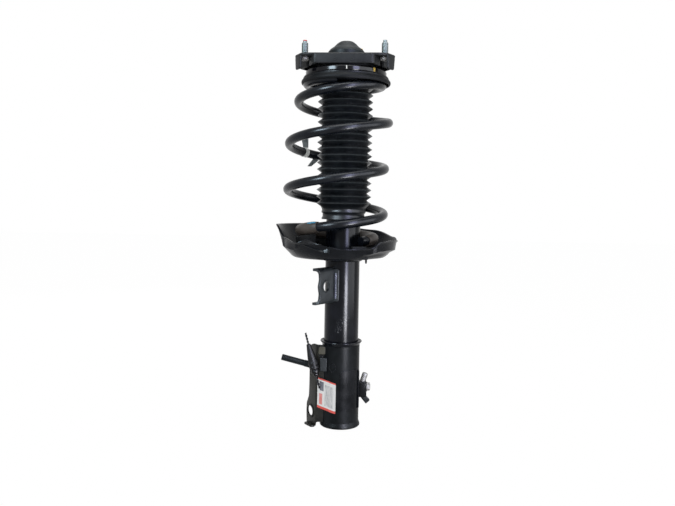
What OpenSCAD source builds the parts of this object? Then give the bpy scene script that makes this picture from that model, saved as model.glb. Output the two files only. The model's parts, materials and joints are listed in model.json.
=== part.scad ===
// MacPherson strut assembly: a twin-tube damper in its lower sleeve, a coil spring
// between two seats, the strut bearing and the three-stud top mount.
// Millimetres, +Z up along the piston rod. The origin is the middle of the lower
// sleeve's bottom edge, and -Y is the side of the stabiliser link bracket.

/* [Damper tube] */
// Outer diameter of the damper tube
tube_d = 53; // [51:0.5:54]
// Wall of the damper tube
tube_wall = 2.5; // [1.5:0.25:3]
// Height of the tube's rim above the sleeve's bottom edge
tube_top_z = 330; // [328:1:331]
// How far the tube's closed end stands above the sleeve's bottom edge
tube_foot_z = 3; // [1:0.5:8]
// Bore of the inner pressure tube
bore_d = 32; // [30:0.5:33]
// Wall of the pressure tube
bore_wall = 2; // [1.5:0.25:2.5]
// Height of the rod guide
guide_h = 18; // [14:1:22]
// Height of the rod seal
seal_h = 8; // [5:1:10]
// Sheet of the cap over the tube's rim
cap_wall = 2; // [1.5:0.25:2.5]
// Height of the cap's skirt
cap_h = 11; // [8:1:12]

/* [Piston rod] */
// Diameter of the piston rod
rod_d = 22; // [20:0.5:24]
// Diameter of the rod's threaded ends
neck_d = 14; // [10:0.5:15]
// Height of the piston
piston_h = 18; // [14:1:24]
// Height of the rebound stop on the rod
rebound_h = 14; // [10:1:20]
// Length of the bump stop
bump_len = 70; // [60:1:72]
// Largest diameter of the bump stop
bump_d = 50; // [44:1:56]

/* [Lower sleeve] */
// Outer diameter of the lower sleeve
sleeve_d = 58; // [57.5:0.5:60]
// Height of the lower sleeve
sleeve_h = 125; // [118:1:130]
// Outer diameter of the flare at the sleeve's foot
flare_d = 62; // [61:0.5:64]
// Height of the flare
flare_h = 8; // [5:1:10]

/* [Spring] */
// Diameter of the spring wire
wire_d = 14; // [12:0.25:14.5]
// Radius of the lower end coil, at the middle of the wire
coil_low_r = 55; // [52:0.5:56]
// Radius of the working coils
coil_mid_r = 74.8; // [70:0.2:78]
// Radius of the upper end coil
coil_top_r = 57.8; // [56:0.2:58.6]
// Rise per turn of the lower end coil, as a share of the working coils' rise
low_rise = 0.225; // [0.18:0.005:0.27]
// Rise per turn just below the upper end coil, as a share of the working coils' rise
high_rise = 0.82; // [0.76:0.01:0.9]
// Angle of the lower wire end, in turns from +X
wire_start = -0.14; // [-0.2:0.01:-0.1]
// Angle of the upper wire end, in turns from +X
wire_end = 4.72; // [4.6:0.01:4.8]
// Wall of the rubber sleeve on the lower end coil
end_sleeve_wall = 2.25; // [1.5:0.25:3]
// Thickness of the rubber pad under the wire's lower end
pad_foot_h = 15.5; // [13:0.5:18]

/* [Lower spring seat] */
// Height of the seat's floor
dish_z = 259; // [256:1:260]
// Sheet of the seat
dish_t = 2.5; // [2:0.25:3]
// Outer radius of the seat's floor
dish_r = 75; // [74.5:0.5:78]
// How far the seat's middle lies left of the tube
dish_shift = 4; // [2:0.5:6]
// How far the wall leans out for each millimetre of height
dish_lean = 0.5; // [0.4:0.05:0.6]
// Height of the rim's low stretch at the front
rim_front_z = 269; // [267:1:273]
// Height of the rim at the right
rim_right_z = 286; // [282:1:290]
// Height of the rim at the back left
rim_back_z = 309; // [304:1:312]

/* [Upper seat and bearing] */
// Height of the upper seat's underside
seat_z = 536; // [535:0.5:538]
// Sheet of the upper seat
seat_t = 2; // [1.5:0.25:3]
// Outer radius of the rubber lip
lip_r = 69.5; // [69:0.5:72]
// How far the rubber lip reaches below the seat
lip_h = 10; // [9.5:0.5:11]
// Diameter of the bearing balls
ball_d = 6; // [5:0.25:6.5]
// Number of bearing balls
ball_count = 36; // [24:1:40]
// Radius of the circle of balls
ball_ring_r = 50; // [49:0.5:52]
// Outer diameter of the bearing's cover
cover_d = 125.4; // [122:0.2:125.4]
// Depth of the cover's skirt below its top
cover_h = 9; // [8:0.25:9]

/* [Top mount] */
// Radius of the circle of studs
stud_ring_r = 69.8; // [69.8:0.1:71]
// Diameter of the studs
stud_d = 10; // [8:0.5:12]
// How far the studs stand above the mount
stud_out = 22; // [18:1:30]
// Angle of the first stud
stud_angle = 85; // [80:1:90]
// Gap between the bearing's cover and the mount's lower edge
mount_gap = 2; // [1:0.25:3]
// Height of the mount
mount_h = 17; // [15:0.5:20]
// Distance of the mount's flat sides from the rod's axis
mount_r = 58; // [57:0.5:60]
// How far the ears reach past the studs' middle
ear_r = 13; // [11:0.5:14]
// Outer diameter of the domed cap
dome_d = 56; // [52:1:60]
// Height of the domed cap
dome_h = 27.5; // [26:0.5:32]

/* [Dust boot] */
// Number of ribs
rib_count = 18; // [14:1:18]
// Outer diameter over the ribs
rib_d = 85.6; // [82:0.2:87]
// Outer diameter of the valleys between the ribs
valley_d = 71; // [68:0.5:72]
// Wall of the boot
boot_wall = 1.6; // [1:0.1:2]
// Height of the boot's lower edge
boot_z = 318; // [317:0.5:319]
// Height of the cuff below the ribs
cuff_h = 19.5; // [18:0.5:22]
// Outer diameter of the cuff
cuff_d = 68; // [65:0.5:70]

/* [Stabiliser link bracket] */
// Height of the bracket's lower edge
link_z = 193; // [185:1:200]
// Height of the bracket
link_h = 51; // [46:1:58]
// How far the bracket reaches from the tube
link_reach = 48; // [44:1:54]
// Sheet of the bracket
link_t = 4; // [3:0.25:5]
// Depth of the folded flanges
link_flange = 8; // [6:0.5:12]
// Diameter of the hole for the link's stud
link_hole_d = 15; // [10:0.5:16]
// Distance of the hole from the bracket's outer edge
link_hole_in = 19; // [18:0.5:22]

/* [Locating bracket] */
// Sheet of the bracket
fin_t = 3; // [2:0.25:4]
// Width of the fin
fin_w = 21; // [19:0.5:24]
// Width of the ear at its foot
ear_w = 28; // [27:0.5:32]
// Diameter of the hole in the ear
ear_hole_d = 16; // [10:0.5:17]
// Height of the hole's middle
ear_hole_z = 20; // [18:0.5:24]

/* [Small parts] */
// Diameter of the round arm
arm_d = 9.5; // [8:0.25:10]
// Length of the arm
arm_len = 64; // [50:1:75]
// Diameter of the grommet's smooth part
grommet_d = 10; // [9:0.25:11]
// Diameter of the thin cable
cable_d = 3.5; // [3:0.25:4]
// Thickness of the curved plate on the sleeve
key_t = 1.8; // [1.2:0.1:2.5]
// Thickness of the label
label_t = 0.3; // [0.2:0.05:0.5]

/* [Hidden] */

$fn = 96;
// Clearances: pressed or welded together, running, and side by side
press_gap = 0.05;
run_gap = 0.05;
near_gap = 0.3;
// What a cutter reaches past the face it cuts
cut = 1;

black_paint = [0.09, 0.10, 0.12];
black_rubber = [0.15, 0.15, 0.17];
steel = [0.62, 0.64, 0.66];
zinc = [0.70, 0.70, 0.62];

tube_r = tube_d / 2;
tube_in_r = tube_r - tube_wall;
sleeve_r = sleeve_d / 2;
sleeve_in_r = tube_r + press_gap;
bore_r = bore_d / 2;
bore_out_r = bore_r + bore_wall;
rod_r = rod_d / 2;
neck_r = neck_d / 2;

// Heights inside the damper, from its foot up
base_cap_t = 5;
base_cap_z = tube_foot_z + base_cap_t;
valve_h = 16;
valve_z = base_cap_z + valve_h;
valve_spigot = 6;
seal_z = tube_top_z - seal_h;
guide_z = seal_z - guide_h;
guide_spigot = 9;
cap_top_z = tube_top_z + cap_wall;
rebound_z = guide_z - near_gap - rebound_h;
piston_gap = 8;
piston_z = rebound_z - piston_gap - piston_h;
nut_h = 10;

// Heights of the upper stack, from the seat up
groove = 1.3;
race_t = 2.5;
ball_r = ball_d / 2;
seat_top_z = seat_z + seat_t;
race_top_z = seat_top_z + race_t;
ball_z = race_top_z + ball_r - groove + run_gap;
cover_race_z = ball_z + ball_r - groove + run_gap;
cover_top_t = 3.5;
cover_top_z = cover_race_z + cover_top_t;
cover_r = cover_d / 2;
race_in_r = ball_ring_r - 10;
race_out_r = ball_ring_r + 5;
mount_z = cover_top_z + mount_gap;
mount_top_z = mount_z + mount_h;
core_flange_t = 3;
core_z = cover_top_z + 1;
core_r = neck_r + 7;
core_flange_r = 30;
hub_r = race_in_r;
washer_t = 2.5;
rod_nut_h = 11;
mount_wall = 4;
bump_top_z = core_z;
boot_top_z = seat_z;

// The spring's wire: angle t in turns, where one turn starts at +X
wire_r = wire_d / 2;
rings_per_turn = 24;
wire_sides = 6;
channel_roof_t = 1.5;
end_sleeve_r = wire_r + end_sleeve_wall;
spring_foot_z = dish_z + dish_t + pad_foot_h + near_gap + end_sleeve_r;
channel_z = seat_z - channel_roof_t;
spring_head_z = channel_z - near_gap - wire_r;
top_rise = 0.015;
low_shift = -9;
mid_shift = -12.4;
high_shift = -7;
top_shift = -2;

// Rises from 0 to 1 between a and b, with level ends
function step01(t, a, b) = let (u = max(0, min(1, (t - a) / (b - a)))) u * u * (3 - 2 * u);
// The area under step01 up to t
function ramp(t, a, b) =
  let (u = max(0, min(1, (t - a) / (b - a))))
  (b - a) * (u * u * u - u * u * u * u / 2) + max(0, t - b);

function wire_radius(t) =
  coil_low_r
  + (coil_mid_r - coil_low_r) * step01(t, 0.4, 1.15)
  + (coil_top_r - coil_mid_r) * step01(t, 3.05, 4);
function wire_shift(t) =
  low_shift
  + (mid_shift - low_shift) * step01(t, 0.5, 1.5)
  + (high_shift - mid_shift) * step01(t, 2.2, 3.2)
  + (top_shift - high_shift) * step01(t, 3.3, 4);
// How far the wire has risen at t, counted in working coils
function rise(t) =
  low_rise * (t - wire_start)
  + (1 - low_rise) * ramp(t, 0.1, 1.1)
  + (high_rise - 1) * ramp(t, 2.9, 3.4)
  + (top_rise - high_rise) * ramp(t, 3.75, 4.15);
function wire_z(t) =
  spring_foot_z + (spring_head_z - spring_foot_z) * rise(t) / rise(wire_end);
function wire_point(t) = [
  wire_shift(t) + wire_radius(t) * cos(360 * t),
  wire_radius(t) * sin(360 * t),
  wire_z(t)];

function unit(v) = v / norm(v);
ring_count = ceil((wire_end - wire_start) * rings_per_turn);
// Where the wire's ring number k lies, in turns
function ring_turn(k) = wire_start + (wire_end - wire_start) * k / ring_count;
// One ring round the wire at t, with a corner at its top and its bottom
function wire_ring(t, r) =
  let (
    p = wire_point(t),
    along = unit(wire_point(t + 0.002) - wire_point(t - 0.002)),
    side = unit(cross(along, [0, 0, 1])),
    up = cross(side, along))
  [for (i = [0:wire_sides - 1])
    let (a = 90 + 360 * i / wire_sides) p + r * (cos(a) * side + sin(a) * up)];

// A closed skin through rings of equally many points
module skin(rings) {
  n = len(rings[0]);
  m = len(rings);
  walls = [for (i = [0:m - 2], j = [0:n - 1])
    let (a = i * n + j, b = i * n + (j + 1) % n)
    each [[a, b, b + n], [a, b + n, a + n]]];
  foot = [for (j = [1:n - 2]) [0, j + 1, j]];
  head = [for (j = [1:n - 2]) [(m - 1) * n, (m - 1) * n + j, (m - 1) * n + j + 1]];
  polyhedron(points = [for (ring = rings) each ring], faces = concat(walls, foot, head));
}

// A tube along the wire between two of its rings, k0 and k1
module along_wire(k0, k1, r) skin([for (k = [k0:k1]) wire_ring(ring_turn(k), r)]);

// The least gap between turns of the spring, measured on its own points
gap_step = 1 / rings_per_turn;
function least_turn_gap() = min([
  for (t = [wire_start:gap_step:wire_end])
    for (u = [t + 0.5:gap_step:wire_end])
      norm(wire_point(t) - wire_point(u)) - wire_d]);
echo(least_turn_gap = least_turn_gap());

module ring(r_in, r_out, z0, z1) {
  rotate_extrude() translate([r_in, z0]) square([r_out - r_in, z1 - z0]);
}

// Part of a ring between two angles
module arc_plate(r_in, r_out, a0, a1, z0, z1) {
  rotate([0, 0, a0]) rotate_extrude(angle = a1 - a0)
    translate([r_in, z0]) square([r_out - r_in, z1 - z0]);
}

module bead(r, thick, z) {
  rotate_extrude() translate([r, z]) circle(d = thick, $fn = 24);
}

// ---- Damper ----

module outer_tube() {
  color(black_paint) ring(tube_in_r, tube_r, tube_foot_z, tube_top_z);
}

module base_cap() {
  color(black_paint) rotate_extrude() polygon([
    [0, tube_foot_z], [tube_in_r, tube_foot_z], [tube_in_r, base_cap_z],
    [0, base_cap_z]]);
}

module lower_sleeve() {
  color(black_paint) rotate_extrude() polygon([
    [sleeve_in_r, 0], [flare_d / 2 - 1, 0], [flare_d / 2, 1],
    [flare_d / 2, flare_h - 3], [sleeve_r, flare_h], [sleeve_r, sleeve_h],
    [sleeve_in_r, sleeve_h]]);
}

// The sleeve's upper end turns out into a lip, and the weld fills its inside
lip_out = 3.2;
lip_rise = 6;
module sleeve_weld() {
  color(black_paint) rotate_extrude() polygon([
    [sleeve_in_r, sleeve_h], [sleeve_r, sleeve_h], [sleeve_r + 0.8, sleeve_h + 2],
    [sleeve_r + lip_out, sleeve_h + lip_rise - 1.5],
    [sleeve_r + lip_out - 0.8, sleeve_h + lip_rise], [sleeve_in_r, sleeve_h + lip_rise - 2]]);
}

module pressure_tube() {
  color(steel) ring(bore_r, bore_out_r, valve_z - valve_spigot, guide_z + guide_spigot);
}

// The valve stands on the base cap and its spigot fills the pressure tube
module base_valve() {
  color(steel) rotate_extrude() polygon([
    [0, base_cap_z], [bore_out_r, base_cap_z],
    [bore_out_r, valve_z - valve_spigot], [bore_r, valve_z - valve_spigot],
    [bore_r, valve_z], [0, valve_z]]);
}

module rod_guide() {
  guide_bore_r = rod_r + run_gap;
  color(steel) rotate_extrude() polygon([
    [guide_bore_r, guide_z], [bore_r, guide_z], [bore_r, guide_z + guide_spigot],
    [tube_in_r, guide_z + guide_spigot], [tube_in_r, seal_z], [guide_bore_r, seal_z]]);
}

module rod_seal() {
  color(black_rubber) ring(rod_r + run_gap, tube_in_r, seal_z, tube_top_z);
}

// The cap over the tube's rim, which the bump stop lands on
module tube_cap() {
  cap_in_r = tube_r + press_gap;
  rod_hole_r = rod_r + 2;
  color(steel) rotate_extrude() polygon([
    [rod_hole_r, tube_top_z], [cap_in_r, tube_top_z], [cap_in_r, cap_top_z - cap_h],
    [cap_in_r + cap_wall, cap_top_z - cap_h], [cap_in_r + cap_wall, cap_top_z],
    [rod_hole_r, cap_top_z]]);
}

// ---- Rod and piston ----

piston_r = bore_r - 0.4;
rod_foot_z = piston_z - nut_h;
rod_head_z = mount_top_z + washer_t + rod_nut_h + 2;
module piston_rod() {
  color(steel) rotate_extrude() polygon([
    [0, rod_foot_z], [neck_r - 1, rod_foot_z], [neck_r, rod_foot_z + 1],
    [neck_r, piston_z + piston_h], [rod_r, piston_z + piston_h], [rod_r, core_z],
    [neck_r, core_z], [neck_r, rod_head_z - 1], [neck_r - 1, rod_head_z],
    [0, rod_head_z]]);
}

band_t = 1;
band_h = 8;
band_z = piston_z + (piston_h - band_h) / 2;
module piston() {
  groove_r = piston_r - band_t;
  color(steel) rotate_extrude() polygon([
    [neck_r + press_gap, piston_z], [piston_r, piston_z], [piston_r, band_z],
    [groove_r, band_z], [groove_r, band_z + band_h], [piston_r, band_z + band_h],
    [piston_r, piston_z + piston_h], [neck_r + press_gap, piston_z + piston_h]]);
}

module piston_band() {
  color(black_rubber) ring(piston_r - band_t, bore_r - run_gap, band_z, band_z + band_h);
}

module hex_nut(across_flats, bore, h) {
  difference() {
    cylinder(d = across_flats / cos(30), h = h, $fn = 6);
    translate([0, 0, -cut]) cylinder(r = bore, h = h + 2 * cut);
  }
}

piston_nut_af = neck_d + 7;
module piston_nut() {
  color(steel) translate([0, 0, piston_z - nut_h])
    hex_nut(piston_nut_af, neck_r + press_gap, nut_h);
}

module rebound_stop() {
  color(black_rubber)
    ring(rod_r + press_gap, bore_r - 1.5, rebound_z, rebound_z + rebound_h);
}

// A cellular stop in rings that get slimmer downwards
bump_rings = 4;
module bump_stop() {
  ring_h = bump_len / bump_rings;
  bump_in_r = rod_r + near_gap;
  color([0.75, 0.68, 0.45]) rotate_extrude() polygon([
    for (i = [0:bump_rings - 1])
      let (z = bump_top_z - i * ring_h, r = bump_d / 2 - 2 * i)
      each [[r - 3, z], [r, z - ring_h * 0.3], [r, z - ring_h * 0.7]],
    [bump_d / 2 - 2 * bump_rings - 2, bump_top_z - bump_len],
    [bump_in_r, bump_top_z - bump_len], [bump_in_r, bump_top_z]]);
}

module rod_washer() {
  color(steel) ring(neck_r + press_gap, core_r + 1, mount_top_z, mount_top_z + washer_t);
}

module rod_nut() {
  color(zinc) translate([0, 0, mount_top_z + washer_t])
    hex_nut(neck_d + 8, neck_r + press_gap, rod_nut_h);
}

// ---- Spring and lower seat ----

rim_left_z = rim_right_z - 2;
// The rim's height round the seat, as pairs of angle and height
rim_course = [
  [0, rim_right_z], [20, rim_right_z + 5], [55, rim_back_z - 9],
  [90, rim_back_z - 5], [120, rim_back_z], [183, rim_back_z], [198, rim_left_z + 6],
  [218, rim_left_z], [245, rim_left_z], [259, rim_front_z + 7], [285, rim_front_z],
  [301, rim_front_z], [316, rim_right_z - 5], [330, rim_right_z], [360, rim_right_z]];
neck_h = 8;
nub_pos = [35, -34];
nub_r = 1.5;
dish_steps = 72;
// The wall rises from a rounded foot and leans out up to its rim
foot_round = 10;
foot_steps = 3;
foot = [for (i = [0:foot_steps]) let (a = -90 + 60 * i / foot_steps)
  [foot_round * cos(a), foot_round * (1 + sin(a))]];
wall_foot_r = dish_r - foot[foot_steps][0] + dish_lean * foot[foot_steps][1];
floor_lap = 6;
// The seat's outside, or its inside one sheet further in, where the rim is at rim_z
function dish_side(rim_z, t) =
  let (r = foot_round - t, top = foot[foot_steps])
  concat(
    [[wall_foot_r - floor_lap, dish_z + t]],
    [for (p = foot) [wall_foot_r + p[0] * r / foot_round,
      dish_z + foot_round - (foot_round - p[1]) * r / foot_round]],
    [[wall_foot_r + top[0] + dish_lean * (rim_z - dish_z - top[1]) - t, rim_z]]);
// One cut through the sheet at angle a, as seen from the seat's middle
function dish_cut(a) =
  let (rim_z = lookup(a, rim_course))
  [for (p = concat(dish_side(rim_z, 0), reversed(dish_side(rim_z, dish_t))))
    [p[0] * cos(a) - dish_shift, p[0] * sin(a), p[1]]];
function dish_rings() = [for (i = [0:dish_steps - 1]) dish_cut(360 * i / dish_steps)];
// A closed skin through rings that come back to the first one
module loop_skin(rings) {
  n = len(rings[0]);
  m = len(rings);
  walls = [for (i = [0:m - 1], j = [0:n - 1])
    let (k = (i + 1) % m, a = i * n + j, b = i * n + (j + 1) % n,
      c = k * n + (j + 1) % n, d = k * n + j)
    each [[a, b, c], [a, c, d]]];
  polyhedron(points = [for (ring = rings) each ring], faces = walls);
}
module lower_spring_seat() {
  floor_r = wall_foot_r - floor_lap / 2;
  color(black_paint) {
    loop_skin(dish_rings());
    difference() {
      union() {
        translate([-dish_shift, 0, dish_z]) cylinder(r = floor_r, h = dish_t);
        translate([0, 0, dish_z])
          cylinder(r = tube_r + dish_t + press_gap, h = dish_t + neck_h);
      }
      translate([0, 0, dish_z - cut])
        cylinder(r = tube_r + press_gap, h = dish_t + neck_h + 2 * cut);
      translate([nub_pos[0], nub_pos[1], dish_z - cut])
        cylinder(r = nub_r + near_gap, h = dish_t + 2 * cut);
    }
  }
}

seat_weld_d = 6;
module seat_weld() {
  color(black_paint) difference() {
    bead(tube_r + 1, seat_weld_d, dish_z - seat_weld_d / 2);
    translate([0, 0, dish_z - seat_weld_d - cut])
      cylinder(r = tube_r + press_gap, h = seat_weld_d + 2 * cut);
  }
}

// The rings of the wire where its rubber sleeve and the pad under it end
end_sleeve_ring = 20;
pad_ring_end = 17;
pad_half_w = 6.5;
// One cut through the pad that the lower end coil lies on
function pad_ring(t) =
  let (
    p = wire_point(t),
    out = [cos(360 * t), sin(360 * t)],
    z0 = dish_z + dish_t,
    z1 = p[2] - end_sleeve_r - near_gap,
    a = [p[0], p[1]] + pad_half_w * out,
    b = [p[0], p[1]] - pad_half_w * out)
  [[a[0], a[1], z0], [a[0], a[1], z1], [b[0], b[1], z1], [b[0], b[1], z0]];
nub_h = 9;
module lower_insulator() {
  color(black_rubber) {
    skin([for (k = [0:pad_ring_end]) pad_ring(ring_turn(k))]);
    translate([nub_pos[0], nub_pos[1], dish_z + dish_t - nub_h])
      cylinder(r = nub_r, h = nub_h + 2, $fn = 24);
  }
}

module spring_end_sleeve() {
  color([0.30, 0.27, 0.25]) difference() {
    along_wire(0, end_sleeve_ring, end_sleeve_r);
    along_wire(-1, end_sleeve_ring + 1, wire_r + press_gap);
  }
}

module coil_spring() {
  color(black_paint) along_wire(0, ring_count, wire_r);
}

tag_ring = 60;
tag_band_w = 0.3;
tag_band_t = 0.8;
// A straight tube round the wire, the share w of the way between two rings
module round_wire(w, r) {
  a = wire_ring(ring_turn(tag_ring), r);
  b = wire_ring(ring_turn(tag_ring + 1), r);
  skin([for (s = [0.5 - w / 2, 0.5 + w / 2]) [for (i = [0:wire_sides - 1])
    a[i] + s * (b[i] - a[i])]]);
}
module tag_tie() {
  color([0.85, 0.86, 0.84]) difference() {
    round_wire(tag_band_w, wire_r + tag_band_t);
    round_wire(2 * tag_band_w, wire_r + press_gap);
  }
}

tag_w = 8;
tag_h = 19;
tag_tail_h = 14;
module spring_tag() {
  p = (wire_point(ring_turn(tag_ring)) + wire_point(ring_turn(tag_ring + 1))) / 2;
  r = wire_r + tag_band_t;
  color([0.62, 0.64, 0.62]) {
    translate(p + [-tag_w / 2, -0.4, r + 0.1]) cube([tag_w, 0.8, tag_h]);
    translate(p + [-tag_w / 2, -0.4, -r - 0.1 - tag_tail_h])
      cube([tag_w, 0.8, tag_tail_h]);
  }
}

// ---- Brackets ----

// Turned so that +X runs from the tube outwards along the bracket's plate
link_angle = 235;
link_root = 21;
link_hole_z = link_z + link_h / 2;
link_corner = 9;
link_hole_x = link_root + link_reach - link_hole_in;
link_boss_d = link_hole_d + 9;
link_boss_t = 1;
wrap_deg = 42;
module link_bracket() {
  color(black_paint) difference() {
    union() {
      rotate([0, 0, link_angle]) difference() {
        union() {
          translate([link_root, -link_t / 2 + 4, link_z])
            cube([link_reach, link_t, link_h]);
          for (z = [link_z, link_z + link_h - link_t])
            translate([link_root, 4 - link_t / 2 - link_flange, z])
              cube([link_reach - 4, link_flange + cut, link_t]);
          translate([link_hole_x, 4 + link_t / 2, link_hole_z]) rotate([-90, 0, 0])
            cylinder(d = link_boss_d, h = link_boss_t);
        }
        translate([link_hole_x, 4, link_hole_z]) rotate([90, 0, 0])
          cylinder(d = link_hole_d, h = 2 * link_flange + 20, center = true);
      }
      arc_plate(tube_r + press_gap, tube_r + press_gap + link_t, link_angle,
        link_angle + wrap_deg, link_z, link_z + link_h);
    }
    translate([0, 0, link_z - cut])
      cylinder(r = tube_r + press_gap, h = link_h + 2 * cut);
  }
}

// Where the bracket's plate leaves the tube
link_bead_d = 5;
module link_bracket_weld() {
  end_angle = link_angle + wrap_deg + 6.5;
  color(black_paint) difference() {
    rotate([0, 0, end_angle]) translate([tube_r, 0, link_z + 3])
      cylinder(d = link_bead_d, h = link_h - 6, $fn = 24);
    translate([0, 0, link_z - cut])
      cylinder(r = tube_r + press_gap, h = link_h + 2 * cut);
  }
}

// The fin stands beside the sleeve and runs back and left from its front corner
fin_corner = [-35, -11];
fin_angle = 122;
fin_foot_z = -2;
fin_window_z = [79, 106];
window_edge = 3.2;
// The web runs from the fin's corner well into the sleeve's side
web_angle = -8;
web_len = norm(fin_corner) - sleeve_r + 12;
fin_foot_h = 38;
ear_lip = 6;
fin_arch_r = 6;
module fin_frame() translate([fin_corner[0], fin_corner[1], 0]) rotate([0, 0, fin_angle])
  children();
fin_along = [cos(fin_angle), sin(fin_angle)];
fin_out = [-sin(fin_angle), cos(fin_angle)];
web_along = [cos(web_angle), sin(web_angle)];
web_front = [sin(web_angle), -cos(web_angle)];
// The bend's outer corner, where the fin's and the web's outer faces meet
bend = fin_corner + fin_t * (fin_out + web_front) / (1 + fin_out * web_front);
// The bracket's bent sheet from above: the fin, its corner and the web
function bracket_plan(w) = [
  fin_corner, fin_corner + w * fin_along, fin_corner + w * fin_along + fin_t * fin_out,
  bend, bend + web_len * web_along, fin_corner + web_len * web_along];
module locating_bracket() {
  top_z = sleeve_h;
  ear_x = ear_w - ear_hole_d / 2 - 6;
  foot_r = flare_d / 2 + press_gap;
  side_r = sleeve_r + press_gap;
  color(black_paint) difference() {
    union() {
      translate([0, 0, fin_foot_z]) linear_extrude(top_z - fin_foot_z)
        polygon(bracket_plan(fin_w));
      translate([0, 0, fin_foot_z]) linear_extrude(fin_foot_h - fin_foot_z)
        polygon(bracket_plan(ear_w));
      fin_frame() translate([2, fin_t - cut, fin_foot_z])
        cube([ear_w - 4, ear_lip + cut, fin_t]);
    }
    rotate_extrude() polygon([
      [0, fin_foot_z - cut], [foot_r, fin_foot_z - cut], [foot_r, flare_h + cut],
      [side_r, flare_h + cut], [side_r, top_z + cut], [0, top_z + cut]]);
    fin_frame() {
      translate([ear_x, -cut, ear_hole_z]) rotate([-90, 0, 0])
        cylinder(d = ear_hole_d, h = fin_t + 2 * cut);
      translate([window_edge, -cut, fin_window_z[0]])
        cube([fin_w - 2 * window_edge, fin_t + 2 * cut, fin_window_z[1] - fin_window_z[0]]);
      translate([fin_w / 2, -cut, top_z]) rotate([-90, 0, 0])
        cylinder(r = fin_arch_r, h = fin_t + 2 * cut);
    }
  }
}

key_angles = [268, 333];
key_z = [24, 85];
module key_plate() {
  color(black_paint) arc_plate(sleeve_r + press_gap, sleeve_r + press_gap + key_t,
    key_angles[0], key_angles[1], key_z[0], key_z[1]);
}

clip_z = [82, 102];
module clip_block() {
  clip_depth = 6;
  clip_w = 10.5;
  color(black_paint) difference() {
    translate([bend[0], bend[1], clip_z[0]]) rotate([0, 0, web_angle])
      translate([6, -clip_depth - press_gap, 0])
      cube([clip_w, clip_depth, clip_z[1] - clip_z[0]]);
    translate([0, 0, clip_z[0] - cut])
      cylinder(r = sleeve_r + press_gap, h = clip_z[1] - clip_z[0] + 2 * cut);
  }
}

// The arm leaves the sleeve's left side, passes the fin's window and rises
arm_foot = [-26, -3, 92];
arm_rise = 9.7;
module hose_arm() {
  color(black_paint) difference() {
    translate(arm_foot) rotate([0, -90 + arm_rise, 0]) {
      cylinder(d = arm_d, h = arm_len);
      translate([0, 0, arm_len]) sphere(d = arm_d, $fn = 48);
    }
    translate([0, 0, arm_foot[2] - 2 * arm_d])
      cylinder(r = sleeve_r + press_gap, h = 4 * arm_d);
  }
}

// The grommet lies against the bracket's front corner, on a line that leans outwards
collar_out_r = grommet_d / 2 + 1.2;
grommet_y = bend[1] - collar_out_r - near_gap;
grommet_foot = [-30, grommet_y, 53];
grommet_lean = 15.3;
tail_len = 20;
collar_len = 22;
smooth_len = 29;
cable_len = 17;
module grommet_line() translate(grommet_foot) rotate([0, -grommet_lean, 0]) children();
module harness_grommet() {
  color(black_rubber) grommet_line() rotate_extrude() polygon([
    [0, tail_len], [cable_d / 2, tail_len], [collar_out_r - 2.4, tail_len + 2],
    [collar_out_r - 2.8, tail_len + 4], [collar_out_r - 1.4, tail_len + 6],
    [collar_out_r - 1.8, tail_len + 9], [collar_out_r, tail_len + 11],
    [collar_out_r, tail_len + 14], [collar_out_r - 0.8, tail_len + 15],
    [collar_out_r, tail_len + 16.5], [collar_out_r, tail_len + 19.5],
    [grommet_d / 2 + 0.4, tail_len + collar_len],
    [grommet_d / 2, tail_len + collar_len + 6],
    [cable_d / 2 + 0.8, tail_len + collar_len + smooth_len],
    [0, tail_len + collar_len + smooth_len]]);
}

module harness_cable() {
  color(black_rubber) grommet_line() {
    cylinder(d = cable_d, h = tail_len, $fn = 24);
    translate([0, 0, tail_len + collar_len + smooth_len])
      cylinder(d = cable_d, h = cable_len, $fn = 24);
  }
}

// A folded strap on the sleeve's right side
hose_z = [43.7, 68];
hose_x = 40.7;
hose_half_w = 8;
hose_t = 2.5;
module hose_bracket() {
  z0 = hose_z[0];
  h = hose_z[1] - hose_z[0];
  color(black_paint) difference() {
    translate([sleeve_r - 4, -hose_half_w, z0]) cube([hose_x - sleeve_r + 4,
      2 * hose_half_w, h]);
    translate([0, 0, z0 - cut]) cylinder(r = sleeve_r + press_gap, h = h + 2 * cut);
    translate([sleeve_r - 4, -hose_half_w + hose_t, z0 + hose_t])
      cube([hose_x - sleeve_r + 4 - hose_t, 2 * hose_half_w + cut, h - 2 * hose_t]);
  }
}

module hose_bracket_bolt() {
  color(zinc) translate([hose_x, 0, 59]) rotate([0, 90, 0]) {
    cylinder(d = 11 / cos(30), h = 5.5, $fn = 6);
    cylinder(d = 13, h = 1.2);
  }
}

module hose_bracket_stud() {
  color(zinc) translate([36, 0, hose_z[1]]) {
    cylinder(d = 9, h = 7, $fn = 48);
    translate([0, 0, 7]) cylinder(d1 = 9, d2 = 6, h = 2, $fn = 48);
  }
}

module hose_bracket_plug() {
  color(black_rubber) translate([36.5, 0, hose_z[0] - 7]) {
    cylinder(d = 7, h = 7, $fn = 48);
    translate([0, 0, 5.5]) cylinder(d = 9, h = 1.5, $fn = 48);
  }
}

// The label bridges from the bracket's web to the sleeve and follows its curve
label_angles = [232, 256];
label_z = [17, 66];
function label_side(w) = concat(
  [bend + 2 * web_along + (w + press_gap) * web_front],
  [for (i = [0:8]) let (a = label_angles[0] + (label_angles[1] - label_angles[0]) * i / 8)
    (sleeve_r + press_gap * 2 + w) * [cos(a), sin(a)]]);
module label() {
  color([0.86, 0.85, 0.82]) translate([0, 0, label_z[0]])
    linear_extrude(label_z[1] - label_z[0])
    polygon(concat(label_side(0), reversed(label_side(label_t))));
}

// ---- Upper seat, bearing and boot ----

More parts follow.
